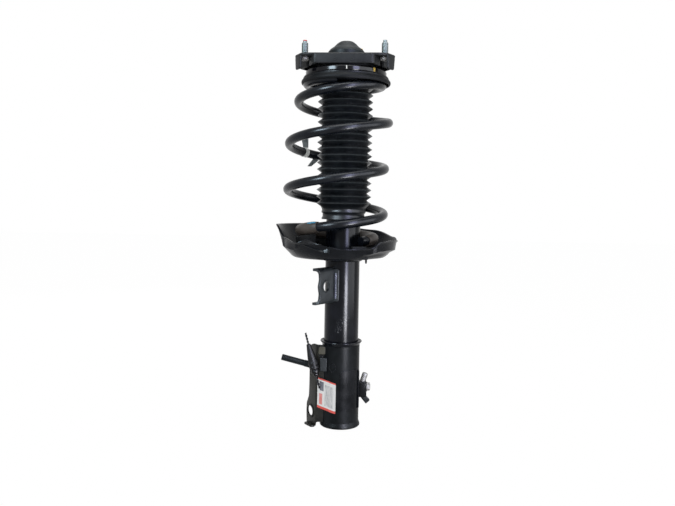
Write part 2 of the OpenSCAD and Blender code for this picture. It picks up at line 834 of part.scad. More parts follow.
seat_neck_r = valley_d / 2 + near_gap;
module upper_spring_seat() {
  color(black_paint) rotate_extrude() polygon([
    [seat_neck_r, seat_z - 5], [seat_neck_r + 2, seat_z - 5],
    [seat_neck_r + 2, seat_z], [lip_r - 4, seat_z], [lip_r - 4, seat_top_z - 1],
    [lip_r - 5, seat_top_z], [seat_neck_r, seat_top_z]]);
}

// The rubber ring with the channel that the upper end coil lies in
module upper_insulator() {
  channel_in_r = coil_top_r - wire_r + top_shift - near_gap;
  channel_out_r = coil_top_r + wire_r - top_shift + near_gap;
  color(black_rubber) rotate_extrude() polygon([
    [channel_in_r - 3, seat_z], [channel_in_r - 3, seat_z - lip_h],
    [channel_in_r, seat_z - lip_h], [channel_in_r, channel_z],
    [channel_out_r, channel_z], [channel_out_r, seat_z - lip_h],
    [lip_r, seat_z - lip_h], [lip_r, seat_z]]);
}

module ball_groove(z) {
  rotate_extrude() translate([ball_ring_r, z]) circle(r = ball_r + run_gap, $fn = 48);
}

module bearing_lower_race() {
  color([0.85, 0.84, 0.78]) difference() {
    ring(race_in_r, race_out_r, seat_top_z, race_top_z);
    ball_groove(ball_z);
  }
}

cage_t = 1.2;
module bearing_cage() {
  color([0.80, 0.80, 0.74]) difference() {
    ring(ball_ring_r - ball_r - 1, ball_ring_r + ball_r + 1, ball_z - cage_t / 2,
      ball_z + cage_t / 2);
    for (i = [0:ball_count - 1]) rotate([0, 0, 360 * i / ball_count])
      translate([ball_ring_r, 0, ball_z - cut])
        cylinder(r = ball_r + 0.08, h = 2 * cut, $fn = 32);
  }
}

module bearing_balls() {
  color(steel) for (i = [0:ball_count - 1]) rotate([0, 0, 360 * i / ball_count])
    translate([ball_ring_r, 0, ball_z]) sphere(r = ball_r, $fn = 32);
}

// The bearing's upper half, with the skirt that shows between seat and mount
module bearing_upper_race() {
  skirt_t = 2.5;
  color(black_paint) difference() {
    rotate_extrude() polygon([
      [race_in_r, cover_race_z], [cover_r - skirt_t, cover_race_z],
      [cover_r - skirt_t, cover_top_z - cover_h], [cover_r, cover_top_z - cover_h],
      [cover_r, cover_top_z - 1], [cover_r - 1, cover_top_z], [race_in_r, cover_top_z]]);
    ball_groove(ball_z);
  }
}

rib_r = rib_d / 2;
valley_r = valley_d / 2;
ribs_z = boot_z + cuff_h;
rib_pitch = (seat_z - lip_h - ribs_z) / rib_count;
collar_r = valley_r;
// The boot's outer profile from its cuff to its top, moved in by w
function boot_side(w) = concat(
  [[cuff_d / 2 - w, boot_z], [cuff_d / 2 - 1.5 - w, boot_z + 4],
   [cuff_d / 2 - 1.5 - w, boot_z + 9], [cuff_d / 2 + 0.5 - w, boot_z + 11],
   [cuff_d / 2 - 0.5 - w, boot_z + 13.5], [cuff_d / 2 - w, ribs_z - 3]],
  [for (i = [0:rib_count - 1]) each [
    [valley_r - w, ribs_z + i * rib_pitch],
    [rib_r - w, ribs_z + (i + 0.5) * rib_pitch]]],
  [[valley_r - w, ribs_z + rib_count * rib_pitch], [collar_r - w, boot_top_z]]);
function reversed(list) = [for (i = [len(list) - 1:-1:0]) list[i]];
module dust_boot() {
  color(black_rubber) rotate_extrude()
    polygon(concat(boot_side(0), reversed(boot_side(boot_wall))));
}

// ---- Top mount ----

module at_studs() for (i = [0:2]) rotate([0, 0, stud_angle + 120 * i])
  translate([stud_ring_r, 0, 0]) children();

stud_head_d = 13.6;
stud_head_h = 5;
// The studs' knurled stretch, which is pressed into the mount
knurl_r = stud_d / 2 + 0.4;
ear_end_r = stud_ring_r + ear_r;
// Behind each stud the mount's wall stands back, so that the stud's head is free
ear_back_r = stud_ring_r - stud_head_d / 2 - 2;
ear_wall = 3;
ear_pocket_w = 48;
ear_flange_w = 34;
ear_flange_r = ear_end_r - ear_wall - 2;
ear_flange_z = cover_top_z - 4;
module at_ears() for (i = [0:2]) rotate([0, 0, stud_angle + 120 * i]) children();
// A rounded triangle of sheet: flat walls between the ears, a shelf over each stud's
// head and a flange down each ear's end
module mount_plate() {
  shelf_z = mount_top_z - mount_wall;
  hub_mid_r = hub_r + mount_wall / 2;
  color(black_paint) {
    difference() {
      intersection() {
        rotate([0, 0, stud_angle]) translate([0, 0, mount_z])
          cylinder(r = 2 * mount_r, h = mount_h, $fn = 3);
        translate([0, 0, mount_z]) cylinder(r = ear_end_r, h = mount_h);
      }
      translate([0, 0, mount_z - cut]) cylinder(r = hub_mid_r, h = mount_h + 2 * cut);
      translate([0, 0, mount_z - cut])
        cylinder(r = mount_r - mount_wall, h = shelf_z - mount_z + cut);
      at_ears() translate([0, 0, mount_z - cut]) linear_extrude(mount_h - mount_wall + cut)
        polygon([[ear_back_r, -ear_pocket_w / 2], [2 * ear_end_r, -ear_pocket_w],
          [2 * ear_end_r, ear_pocket_w], [ear_back_r, ear_pocket_w / 2]]);
      at_studs() translate([0, 0, shelf_z - cut])
        cylinder(r = knurl_r + press_gap, h = mount_wall + 2 * cut);
    }
    ring(hub_r, hub_r + mount_wall, cover_top_z, mount_top_z);
    at_ears() translate([ear_flange_r, -ear_flange_w / 2, ear_flange_z])
      cube([ear_wall, ear_flange_w, shelf_z + mount_wall / 2 - ear_flange_z]);
  }
}

module mount_rubber() {
  color(black_rubber) rotate_extrude() polygon([
    [core_r, core_z + core_flange_t], [core_flange_r, core_z + core_flange_t],
    [hub_r, core_z + core_flange_t + 2], [hub_r, mount_top_z],
    [core_r + 8, mount_top_z], [core_r, mount_top_z - 5]]);
}

module mount_core() {
  color(steel) rotate_extrude() polygon([
    [neck_r + press_gap, core_z], [core_flange_r, core_z],
    [core_flange_r, core_z + core_flange_t], [core_r, core_z + core_flange_t],
    [core_r, mount_top_z], [neck_r + press_gap, mount_top_z]]);
}

module mount_studs() {
  stud_r = stud_d / 2;
  top = mount_top_z + stud_out;
  shelf_z = mount_top_z - mount_wall;
  tip_r = stud_r - 1.8;
  tip_len = 3;
  color(zinc) at_studs() rotate_extrude() polygon([
    [0, shelf_z - stud_head_h], [stud_head_d / 2 - 1, shelf_z - stud_head_h],
    [stud_head_d / 2, shelf_z - stud_head_h + 1], [stud_head_d / 2, shelf_z],
    [knurl_r, shelf_z], [knurl_r, mount_top_z], [stud_r, mount_top_z],
    [stud_r, top - tip_len - 1], [tip_r, top - tip_len], [tip_r, top - 0.5],
    [tip_r - 0.5, top], [0, top]]);
}

cap_t = 2;
// The cap's outer profile, moved in by w
dome_lip = 4;
dome_round = 14;
function dome_side(w) =
  let (r = dome_d / 2, top = mount_top_z + dome_h)
  concat(
    [[r - w, mount_top_z], [r - w, mount_top_z + dome_lip],
     [r - 4 - w, mount_top_z + dome_lip + 1.5]],
    [for (i = [0:5]) let (a = 30 + 48 * i / 5)
      [3 + (dome_round - w) * cos(a), top - dome_round + (dome_round - w) * sin(a)]],
    [[0, top - w]]);
module dust_cap() {
  color(black_rubber) rotate_extrude()
    polygon(concat(dome_side(0), reversed(dome_side(cap_t))));
}

outer_tube();
base_cap();
lower_sleeve();
sleeve_weld();
pressure_tube();
base_valve();
rod_guide();
rod_seal();
tube_cap();
lower_spring_seat();
seat_weld();
lower_insulator();
spring_end_sleeve();
coil_spring();
spring_tag();
tag_tie();
link_bracket();
link_bracket_weld();
locating_bracket();
key_plate();
clip_block();
hose_arm();
harness_grommet();
harness_cable();
hose_bracket();
hose_bracket_bolt();
hose_bracket_stud();
hose_bracket_plug();
label();
upper_spring_seat();
upper_insulator();
bearing_lower_race();
dust_boot();
bearing_cage();
bearing_balls();
mount_plate();
mount_rubber();
mount_core();
mount_studs();
bearing_upper_race();
piston_rod();
piston();
piston_band();
piston_nut();
rebound_stop();
bump_stop();
rod_washer();
rod_nut();
dust_cap();
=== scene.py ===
import json
from math import atan2, cos, pi, radians, sin, tan

import bmesh
import bpy
from mathutils import Matrix, Vector

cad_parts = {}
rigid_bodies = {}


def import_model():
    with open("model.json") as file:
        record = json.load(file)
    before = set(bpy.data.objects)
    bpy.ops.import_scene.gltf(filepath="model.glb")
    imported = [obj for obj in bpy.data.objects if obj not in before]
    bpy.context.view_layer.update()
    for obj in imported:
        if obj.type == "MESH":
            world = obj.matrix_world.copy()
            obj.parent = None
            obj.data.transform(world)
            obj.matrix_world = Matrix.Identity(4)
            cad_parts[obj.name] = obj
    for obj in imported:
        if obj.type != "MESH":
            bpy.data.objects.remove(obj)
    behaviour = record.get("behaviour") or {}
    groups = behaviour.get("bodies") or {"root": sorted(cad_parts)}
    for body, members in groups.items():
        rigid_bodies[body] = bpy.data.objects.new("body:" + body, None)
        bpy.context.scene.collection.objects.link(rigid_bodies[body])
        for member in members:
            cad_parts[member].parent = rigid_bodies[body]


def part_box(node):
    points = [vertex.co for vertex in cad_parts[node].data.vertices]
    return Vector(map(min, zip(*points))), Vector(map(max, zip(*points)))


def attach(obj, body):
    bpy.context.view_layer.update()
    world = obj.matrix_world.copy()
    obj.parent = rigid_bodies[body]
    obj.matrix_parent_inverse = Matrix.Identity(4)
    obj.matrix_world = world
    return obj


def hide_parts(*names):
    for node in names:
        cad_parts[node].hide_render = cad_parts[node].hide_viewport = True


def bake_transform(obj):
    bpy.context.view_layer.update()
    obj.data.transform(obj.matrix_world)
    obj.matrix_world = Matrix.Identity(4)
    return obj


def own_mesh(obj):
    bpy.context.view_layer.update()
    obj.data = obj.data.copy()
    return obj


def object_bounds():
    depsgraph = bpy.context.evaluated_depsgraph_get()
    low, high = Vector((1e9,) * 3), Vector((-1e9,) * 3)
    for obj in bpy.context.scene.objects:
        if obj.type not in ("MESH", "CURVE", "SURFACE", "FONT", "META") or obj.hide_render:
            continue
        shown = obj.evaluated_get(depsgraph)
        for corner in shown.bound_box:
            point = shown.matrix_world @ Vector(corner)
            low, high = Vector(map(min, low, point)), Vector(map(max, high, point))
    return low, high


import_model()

# A complete strut: damper tube, coil spring, dust boot, strut bearing and top mount.
# Sizes in this file are millimetres, angles are degrees, and the CAD frame's metres
# are met only where a mesh is made.
MM = 0.001
MERGE = 0.0005
cad_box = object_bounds()


def cad_size(node):
    """Lowest and highest corner of a CAD node, in millimetres."""
    low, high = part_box(node)
    return Vector(low) / MM, Vector(high) / MM


def cad_middle(node):
    low, high = cad_size(node)
    return (low + high) / 2


# ---- Meshes ----

def new_object(name, data):
    """Links a new object to the scene."""
    piece = bpy.data.objects.new(name, data)
    bpy.context.scene.collection.objects.link(piece)
    return piece


def add_piece(name, points, faces, material, smooth=True):
    """A mesh object from points in millimetres."""
    mesh = bpy.data.meshes.new(name)
    mesh.from_pydata([Vector(p) * MM for p in points], [], faces)
    mesh.materials.append(material)
    mesh.update()
    if smooth:
        mesh.shade_smooth()
    return new_object(name, mesh)


def tidy_mesh(piece):
    """Merges points closer than MERGE and turns every face outwards."""
    work = bmesh.new()
    work.from_mesh(piece.data)
    bmesh.ops.remove_doubles(work, verts=work.verts, dist=MERGE * MM)
    bmesh.ops.recalc_face_normals(work, faces=work.faces)
    work.to_mesh(piece.data)
    work.free()
    return piece


def bake(piece):
    """Turns the modifiers' result into the piece's own mesh."""
    depsgraph = bpy.context.evaluated_depsgraph_get()
    result = bpy.data.meshes.new_from_object(piece.evaluated_get(depsgraph))
    piece.modifiers.clear()
    piece.data = result
    return piece


def sharpen(piece, angle):
    """Smooth shading that breaks at edges sharper than the angle."""
    piece.data.shade_smooth()
    piece.data.set_sharp_from_angle(angle=radians(angle))
    return piece


def thicken(piece, wall, offset):
    """Gives a sheet its wall: offset -1 lays it inside, 0 on both sides, 1 outside."""
    modifier = piece.modifiers.new("wall", "SOLIDIFY")
    modifier.thickness = wall * MM
    modifier.offset = offset
    modifier.use_even_offset = True
    return piece


def join(pieces, name, angle=35):
    """Joins several pieces into one object, its edges sharp beyond the angle."""
    work = bmesh.new()
    materials = []
    for part in pieces:
        first = len(work.faces)
        work.from_mesh(part.data)
        work.faces.ensure_lookup_table()
        for material in part.data.materials:
            if material not in materials:
                materials.append(material)
        own = [materials.index(m) for m in part.data.materials]
        for face in work.faces[first:]:
            face.material_index = own[min(face.material_index, len(own) - 1)]
    mesh = bpy.data.meshes.new(name)
    work.to_mesh(mesh)
    work.free()
    for material in materials:
        mesh.materials.append(material)
    for part in pieces:
        bpy.data.objects.remove(part)
    return sharpen(new_object(name, mesh), angle)


def rounded(corners, steps=5):
    """An outline with its corners rounded: each corner is (x, y) or (x, y, radius)."""
    outline = []
    count = len(corners)
    for i, corner in enumerate(corners):
        here = Vector(corner[:2])
        radius = corner[2] if len(corner) > 2 else 0
        before = Vector(corners[i - 1][:2])
        after = Vector(corners[(i + 1) % count][:2])
        a, b = (before - here).normalized(), (after - here).normalized()
        turn = a.angle(b, 0)
        if radius <= 0 or turn > radians(176) or turn < radians(4):
            outline.append(tuple(here))
            continue
        reach = radius / tan(turn / 2)
        reach = min(reach, (before - here).length * 0.49, (after - here).length * 0.49)
        radius = reach * tan(turn / 2)
        middle = here + (a + b).normalized() * radius / sin(turn / 2)
        start, end = here + a * reach - middle, here + b * reach - middle
        sweep = start.angle_signed(end, 0)
        for step in range(steps + 1):
            outline.append(tuple(middle + Matrix.Rotation(-sweep * step / steps, 2) @ start))
    return outline


def skin(name, rings, material, angle, capped=False):
    """A skin through rings of equally many points. It closes on itself, or is capped at
    both ends. Edges sharper than the angle stay sharp."""
    count = len(rings[0])
    points = [p for ring in rings for p in ring]
    faces = []
    for i in range(len(rings) - 1 if capped else len(rings)):
        for j in range(count):
            a, b = i * count + j, i * count + (j + 1) % count
            faces.append((a, b, (b + count) % len(points), (a + count) % len(points)))
    if capped:
        faces.append(tuple(range(count)))
        faces.append(tuple(range(len(points) - count, len(points)))[::-1])
    return sharpen(tidy_mesh(add_piece(name, points, faces, material)), angle)


def lathe(name, corners, material, segments=144, steps=5):
    """Turns a closed outline of (radius, height) corners round the rod's axis."""
    rings = []
    for i in range(segments):
        angle = 2 * pi * i / segments
        rings.append([(max(r, 0) * cos(angle), max(r, 0) * sin(angle), z) for r,
            z in rounded(corners, steps)])
    return skin(name, rings, material, 32)


def flat_plate(name, corners, wall, place, material, edge, steps=5, holes=()):
    """A flat plate with round edges. corners go round its rim as (x, y, radius), holes
    are closed loops of (x, y), and place sets the plate's middle plane."""
    curve = bpy.data.curves.new(name, "CURVE")
    curve.dimensions = "2D"
    curve.fill_mode = "BOTH"
    curve.extrude = (wall / 2 - edge) * MM
    curve.bevel_depth = edge * MM
    curve.bevel_resolution = 2
    curve.offset = -edge * MM
    for outline in (rounded(corners, steps), *holes):
        spline = curve.splines.new("POLY")
        spline.points.add(len(outline) - 1)
        for point, (x, y) in zip(spline.points, outline):
            point.co = (x * MM, y * MM, 0, 1)
        spline.use_cyclic_u = True
    flat = new_object(name, curve)
    depsgraph = bpy.context.evaluated_depsgraph_get()
    mesh = bpy.data.meshes.new_from_object(flat.evaluated_get(depsgraph))
    bpy.data.objects.remove(flat)
    mesh.materials.clear()
    mesh.materials.append(material)
    piece = set_place(new_object(name, mesh), place)
    return sharpen(tidy_mesh(piece), 32)


def circle(radius, x=0.0, y=0.0, steps=48):
    angles = [2 * pi * i / steps for i in range(steps)]
    return [(x + radius * cos(a), y + radius * sin(a)) for a in angles]


def place_at(origin, x_axis, z_axis):
    """A frame at origin whose X and Z lie along the two directions."""
    z = Vector(z_axis).normalized()
    x = Vector(x_axis)
    x = (x - x.dot(z) * z).normalized()
    y = z.cross(x)
    turn = Matrix((x, y, z)).transposed().to_4x4()
    turn.translation = Vector(origin)
    return turn


def set_place(piece, place):
    """Puts a piece's mesh at a place given in millimetres."""
    move = place.copy()
    move.translation = move.translation * MM
    piece.data.transform(move)
    return piece


def stand(piece, origin, x_axis, z_axis):
    """Puts a piece's mesh at origin, with its X and Z along the two directions."""
    return set_place(piece, place_at(origin, x_axis, z_axis))


def shift(piece, way):
    """Moves a piece's mesh by millimetres."""
    piece.data.transform(Matrix.Translation(Vector(way) * MM))


def rod(name, start, end, radius, material, tip):
    """A round bar from start to end, its far end rounded by tip."""
    start, end = Vector(start), Vector(end)
    length = (end - start).length
    piece = lathe(name, [(0, 0), (radius, 0), (radius, length, tip), (0, length)], material,
        segments=48, steps=8)
    return stand(piece, start, (end - start).orthogonal(), end - start)


def dress(piece, body, node=None):
    """Gives a piece its body, and hides the CAD node that it stands for."""
    if node:
        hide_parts(node)
    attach(piece, body)


def smooth_step(value, low, high):
    share = min(max((value - low) / (high - low), 0), 1)
    return share * share * (3 - 2 * share)


# ---- Finishes ----

def thousandths(*colours):
    return [tuple(part / 1000 for part in colour) for colour in colours]


def new_finish(name):
    material = bpy.data.materials.new(name)
    material.use_nodes = True
    return material, material.node_tree, material.node_tree.nodes["Principled BSDF"]


def give(node, values):
    """Sets a node's inputs."""
    for socket, value in values.items():
        node.inputs[socket].default_value = value


def object_points(tree, stretch=(1, 1, 1)):
    """Object coordinates in millimetres, stretched along the axes."""
    source = tree.nodes.new("ShaderNodeTexCoord")
    mapping = tree.nodes.new("ShaderNodeMapping")
    mapping.inputs["Scale"].default_value = [s / MM for s in stretch]
    tree.links.new(source.outputs["Object"], mapping.inputs["Vector"])
    return mapping.outputs["Vector"]


def noise(tree, vector, grain, detail=4, rough=0.55):
    """A noise whose features are about grain millimetres wide."""
    texture = tree.nodes.new("ShaderNodeTexNoise")
    give(texture, {"Scale": 1 / grain, "Detail": detail, "Roughness": rough})
    tree.links.new(vector, texture.inputs["Vector"])
    return texture.outputs["Fac"]


def ramp(tree, value, stops):
    """Colours along a value: stops are (position, colour)."""
    node = tree.nodes.new("ShaderNodeValToRGB")
    elements = node.color_ramp.elements
    while len(elements) < len(stops):
        elements.new(1)
    for element, (position, colour) in zip(elements, stops):
        element.position = position
        element.color = (*colour, 1) if len(colour) == 3 else colour
    tree.links.new(value, node.inputs["Fac"])
    return node.outputs["Color"]


def spread(tree, value, low, high, start=0.3, end=0.7):
    """Maps a value's middle range to low and high."""
    node = tree.nodes.new("ShaderNodeMapRange")
    give(node, {"From Min": start, "From Max": end, "To Min": low, "To Max": high})
    tree.links.new(value, node.inputs["Value"])
    return node.outputs["Result"]


def mixed(tree, share, first, second):
    """Two colours mixed by a value."""
    node = tree.nodes.new("ShaderNodeMix")
    node.data_type = "RGBA"
    tree.links.new(share, node.inputs["Factor"])
    for socket, colour in ((node.inputs[6], first), (node.inputs[7], second)):
        if isinstance(colour, tuple):
            socket.default_value = (*colour, 1)
        else:
            tree.links.new(colour, socket)
    return node.outputs[2]


def solve(tree, operation, first, second):
    """One step of arithmetic on numbers or sockets."""
    node = tree.nodes.new("ShaderNodeMath")
    node.operation = operation
    for socket, value in zip(node.inputs, (first, second)):
        if isinstance(value, (int, float)):
            socket.default_value = value
        else:
            tree.links.new(value, socket)
    return node.outputs[0]


def bumped(tree, shader, value, height):
    """Adds a bump of height millimetres."""
    node = tree.nodes.new("ShaderNodeBump")
    give(node, {"Distance": height * MM, "Strength": 1})
    tree.links.new(value, node.inputs["Height"])
    tree.links.new(node.outputs["Normal"], shader.inputs["Normal"])


def scuffs(tree, where, place, reach):
    """Pale scratches and chips round one place, in millimetres."""
    off = tree.nodes.new("ShaderNodeVectorMath")
    off.operation = "DISTANCE"
    tree.links.new(where, off.inputs[0])
    off.inputs[1].default_value = place
    near = spread(tree, off.outputs["Value"], 1.0, 0.0, reach * 0.35, reach)
    chips = noise(tree, where, 2.0, 6, 0.75)
    marks = ramp(tree, chips, [(0.56, (0, 0, 0)), (0.60, (1, 1, 1))])
    return solve(tree, "MULTIPLY", near, marks)


def paint(name, colour, dusty, rough, gloss, dust, peel=0.02, scuffed=()):
    """Paint or coating: two tones, fine dust, orange peel and bright specks."""
    colour, dusty = thousandths(colour, dusty)
    material, tree, shader = new_finish(name)
    where = object_points(tree)
    clouds = noise(tree, where, 26, 6)
    fine = noise(tree, where, 1.1, 3)
    tone = ramp(tree, clouds, [(0.35, colour), (0.72, dusty)])
    if dust:
        grains = ramp(tree, fine, [(0.60, (0, 0, 0)), (0.78, (dust,) * 3)])
        tone = mixed(tree, grains, tone, tuple(min(c * 4 + 0.03, 1) for c in dusty))
    for place, reach in scuffed:
        tone = mixed(tree, scuffs(tree, where, place, reach), tone, (0.20, 0.21, 0.23))
    tree.links.new(tone, shader.inputs["Base Color"])
    tree.links.new(spread(tree, clouds, *rough), shader.inputs["Roughness"])
    peel_noise = noise(tree, where, 2.2, 2)
    bumped(tree, shader, peel_noise, peel)
    shader.inputs["Specular IOR Level"].default_value = gloss
    return material


def rubber(name, colour, dusty, rough=(0.45, 0.62), grain=0.5, height=0.03, gloss=0.12, crest=None):
    """Moulded rubber: matte, with a fine grain and a bloom of dust. crest is the two
    distances from the rod's axis between which a lighter colour comes in, and that colour: a painted
    highlight along the crests."""
    colour, dusty = thousandths(colour, dusty)
    material, tree, shader = new_finish(name)
    where = object_points(tree)
    clouds = noise(tree, where, 18, 5)
    tone = ramp(tree, clouds, [(0.38, colour), (0.75, dusty)])
    # Lighter beyond a distance from the axis: a painted highlight on the pleats' crests
    if crest:
        start, end, crest_highlight = crest
        reach = tree.nodes.new("ShaderNodeVectorMath")
        reach.operation = "LENGTH"
        tree.links.new(object_points(tree, (1, 1, 0)), reach.inputs[0])
        tone = mixed(tree, spread(tree, reach.outputs["Value"], 0, 1, start, end), tone, crest_highlight)
    tree.links.new(tone, shader.inputs["Base Color"])
    tree.links.new(spread(tree, clouds, *rough), shader.inputs["Roughness"])
    bumped(tree, shader, noise(tree, where, grain, 3), height)
    shader.inputs["Specular IOR Level"].default_value = gloss
    return material


def metal(name, colour, dull, rough=(0.25, 0.42), stretch=(1, 1, 1), grain=0.8, height=0.01,
        metallic=1.0):
    """Bare or plated metal with fine tool marks along the stretched axis."""
    colour, dull = thousandths(colour, dull)
    material, tree, shader = new_finish(name)
    where = object_points(tree, stretch)
    clouds = noise(tree, object_points(tree), 9, 5)
    marks = noise(tree, where, grain, 3)
    tone = ramp(tree, clouds, [(0.35, colour), (0.7, dull)])
    tree.links.new(tone, shader.inputs["Base Color"])
    tree.links.new(spread(tree, marks, *rough), shader.inputs["Roughness"])
    bumped(tree, shader, marks, height)
    shader.inputs["Metallic"].default_value = metallic
    return material


# The two tones of a finish are in thousandths
black_paint = paint("black_paint", (4, 5, 7), (9, 10, 13), rough=(0.18, 0.34), gloss=0.09, dust=0.08)
tube_paint = paint("tube_paint", (3, 4, 6), (8, 9, 14), rough=(0.15, 0.27), gloss=0.10, dust=0.05,
    scuffed=(((2, -26, 160), 11), ((-5, -26, 150), 6), ((6, -25, 168), 7)))
spring_paint = paint("spring_paint", (3, 4, 7), (8, 10, 14), rough=(0.20, 0.32), gloss=0.13, dust=0.05,
    peel=0.008)
bracket_paint = paint("bracket_paint", (10, 10, 9), (24, 24, 19), rough=(0.30, 0.45), gloss=0.14,
    dust=0.20)
link_paint = paint("link_paint", (20, 24, 28), (36, 42, 48), rough=(0.30, 0.45), gloss=0.16, dust=0.20)
# A lighter olive for the top of the locating bracket's web: painted light where the web's face catches
# the lamps
panel_paint = paint("panel_paint", (70, 66, 48), (105, 100, 76), rough=(0.38, 0.5), gloss=0.16,
    dust=0.2)
# The weld's light blue tones are a painted highlight: the windows' reflection on the ripples put into
# the colour
weld_paint = paint("weld_paint", (50, 55, 90), (160, 170, 250), rough=(0.14, 0.22), gloss=0.5, dust=0.3)
sleeve_paint = paint("sleeve_paint", (3, 4, 5), (10, 12, 14), rough=(0.22, 0.50), gloss=0.06, dust=0.10)
pale_zinc = metal("pale_zinc", (260, 255, 250), (210, 205, 200), rough=(0.50, 0.58), grain=3,
    height=0.004, metallic=0.2)
mount_paint = paint("mount_paint", (8, 9, 10), (16, 17, 19), rough=(0.38, 0.52), gloss=0.10, dust=0.18,
    peel=0.05)
cover_plastic = paint("cover_plastic", (4, 4, 6), (7, 7, 9), rough=(0.10, 0.18), gloss=0.14, dust=0.04,
    peel=0.004)
race_plastic = paint("race_plastic", (600, 580, 500), (660, 640, 560), rough=(0.35, 0.5), gloss=0.4,
    dust=0.0)
# The crest colour is a painted highlight along each pleat's crest
boot_rubber = rubber("boot_rubber", (4, 6, 8), (10, 12, 15), rough=(0.30, 0.42), gloss=0.20,
    crest=(40.6, 42.4, (0.040, 0.047, 0.052)))
cap_rubber = rubber("cap_rubber", (7, 10, 12), (14, 19, 22), rough=(0.38, 0.5), gloss=0.09)
seat_rubber = rubber("seat_rubber", (4, 5, 6), (10, 10, 11), gloss=0.06)
sleeve_rubber = rubber("sleeve_rubber", (42, 34, 28), (72, 60, 50), rough=(0.42, 0.6), gloss=0.2)
grommet_rubber = rubber("grommet_rubber", (6, 6, 7), (14, 14, 15), rough=(0.32, 0.5), grain=0.8,
    height=0.06)
bump_foam = rubber("bump_foam", (500, 430, 260), (580, 510, 330), grain=1.2, height=0.15, gloss=0.3)
zinc = metal("zinc", (110, 130, 127), (80, 95, 92), rough=(0.46, 0.62), metallic=0.6)
bare_steel = metal("bare_steel", (420, 430, 450), (330, 340, 360), stretch=(1, 1, 0.1))
rod_chrome = metal("rod_chrome", (600, 610, 630), (560, 570, 590), rough=(0.06, 0.12),
    stretch=(0.05, 0.05, 1))
bearing_steel = metal("bearing_steel", (600, 600, 620), (550, 550, 570), rough=(0.05, 0.12))
yellow_mark = rubber("yellow_mark", (500, 330, 50), (620, 430, 90))
blue_mark = rubber("blue_mark", (50, 280, 480), (90, 380, 580))
red_mark = rubber("red_mark", (480, 30, 20), (600, 60, 40))
tag_plastic = rubber("tag_plastic", (100, 115, 120), (300, 310, 310))
tie_plastic = rubber("tie_plastic", (700, 710, 680), (780, 790, 770))


def field(tree, u, v, left, right, foot, top):
    """1 inside a rectangle of the label, 0 outside it."""
    across = solve(tree, "MULTIPLY", solve(tree, "GREATER_THAN", u, left),
        solve(tree, "LESS_THAN", u, right))
    upward = solve(tree, "MULTIPLY", solve(tree, "GREATER_THAN", v, foot),
        solve(tree, "LESS_THAN", v, top))
    return solve(tree, "MULTIPLY", across, upward)


def label_finish():
    """Paper with red bands, a dark and a red field, and columns of plain grey dashes."""
    material, tree, shader = new_finish("label_paper")
    source = tree.nodes.new("ShaderNodeTexCoord")
    split = tree.nodes.new("ShaderNodeSeparateXYZ")
    tree.links.new(source.outputs["UV"], split.inputs["Vector"])
    u, v = split.outputs["X"], split.outputs["Y"]
    red, paper = (0.62, 0.055, 0.035), (0.66, 0.66, 0.65)
    tone = ramp(tree, v, [(0.0, red), (0.075, red), (0.085, paper), (0.95, paper), (0.957, red)])
    where = object_points(tree)
    columns = solve(tree, "PINGPONG", u, 0.036)
    blur = noise(tree, object_points(tree, (1, 1, 0.2)), 1.2, 2)
    dashes = solve(tree, "MULTIPLY", solve(tree, "LESS_THAN", columns, 0.017),
        spread(tree, blur, 0.35, 1.0, 0.35, 0.6))
    even = spread(tree, blur, 0.8, 1.0, 0.3, 0.7)
    fields = ((0.40, 0.86, 0.14, 0.84, dashes, (0.17, 0.18, 0.20)), (0.12, 0.34, 0.60, 0.90, even,
        (0.07, 0.075, 0.11)), (0.10, 0.27, 0.14, 0.50, even, (0.62, 0.16, 0.14)))
    for left, right, foot, top, pattern, colour in fields:
        mask = field(tree, u, v, left, right, foot, top)
        tone = mixed(tree, solve(tree, "MULTIPLY", mask, pattern), tone, colour)
    tree.links.new(tone, shader.inputs["Base Color"])
    tree.links.new(spread(tree, noise(tree, where, 6), 0.35, 0.5), shader.inputs["Roughness"])
    bumped(tree, shader, noise(tree, where, 3), 0.02)
    return material


label_paper = label_finish()


# ---- Geometry Nodes ----

def node_tree(name, inputs):
    """A tree with a Geometry input, the named inputs and a Geometry output."""
    tree = bpy.data.node_groups.new(name, "GeometryNodeTree")
    tree.interface.new_socket("Geometry", in_out="INPUT", socket_type="NodeSocketGeometry")
    for label, kind, value in inputs:
        socket = tree.interface.new_socket(label, in_out="INPUT", socket_type=kind)
        if value is not None:
            socket.default_value = value
    tree.interface.new_socket("Geometry", in_out="OUTPUT", socket_type="NodeSocketGeometry")
    return tree, tree.nodes.new("NodeGroupInput"), tree.nodes.new("NodeGroupOutput")


def add_nodes(tree, *kinds):
    """Adds geometry nodes and returns them."""
    return [tree.nodes.new("GeometryNode" + kind) for kind in kinds]


def wire_up(tree, *wires):
    """Each wire is a node, its output, the next node and its input."""
    for source, output, target, given in wires:
        tree.links.new(source.outputs[output], target.inputs[given])


def end_tree(tree, given, output, last):
    """Realizes the instances, sets the material and ends the tree."""
    realize, finish = add_nodes(tree, "RealizeInstances", "SetMaterial")
    wire_up(tree, (last, 0, realize, 0), (realize, 0, finish, "Geometry"),
        (given, "Material", finish, "Material"), (finish, 0, output, 0))


def sweep_tree():
    """A round wire along a chain of edges."""
    tree, given, output = node_tree("swept_wire", [("Radius", "NodeSocketFloat", 0.001),
        ("Sides", "NodeSocketInt", 24), ("Material", "NodeSocketMaterial", None)])
    to_curve, normal, profile, sweep = add_nodes(tree, "MeshToCurve", "SetCurveNormal",
        "CurvePrimitiveCircle", "CurveToMesh")
    wire_up(tree, (given, "Geometry", to_curve, 0), (to_curve, 0, normal, "Curve"),
        (given, "Sides", profile, "Resolution"), (given, "Radius", profile, "Radius"),
        (normal, 0, sweep, "Curve"), (profile, 0, sweep, "Profile Curve"))
    sweep.inputs["Fill Caps"].default_value = True
    end_tree(tree, given, output, sweep)
    return tree


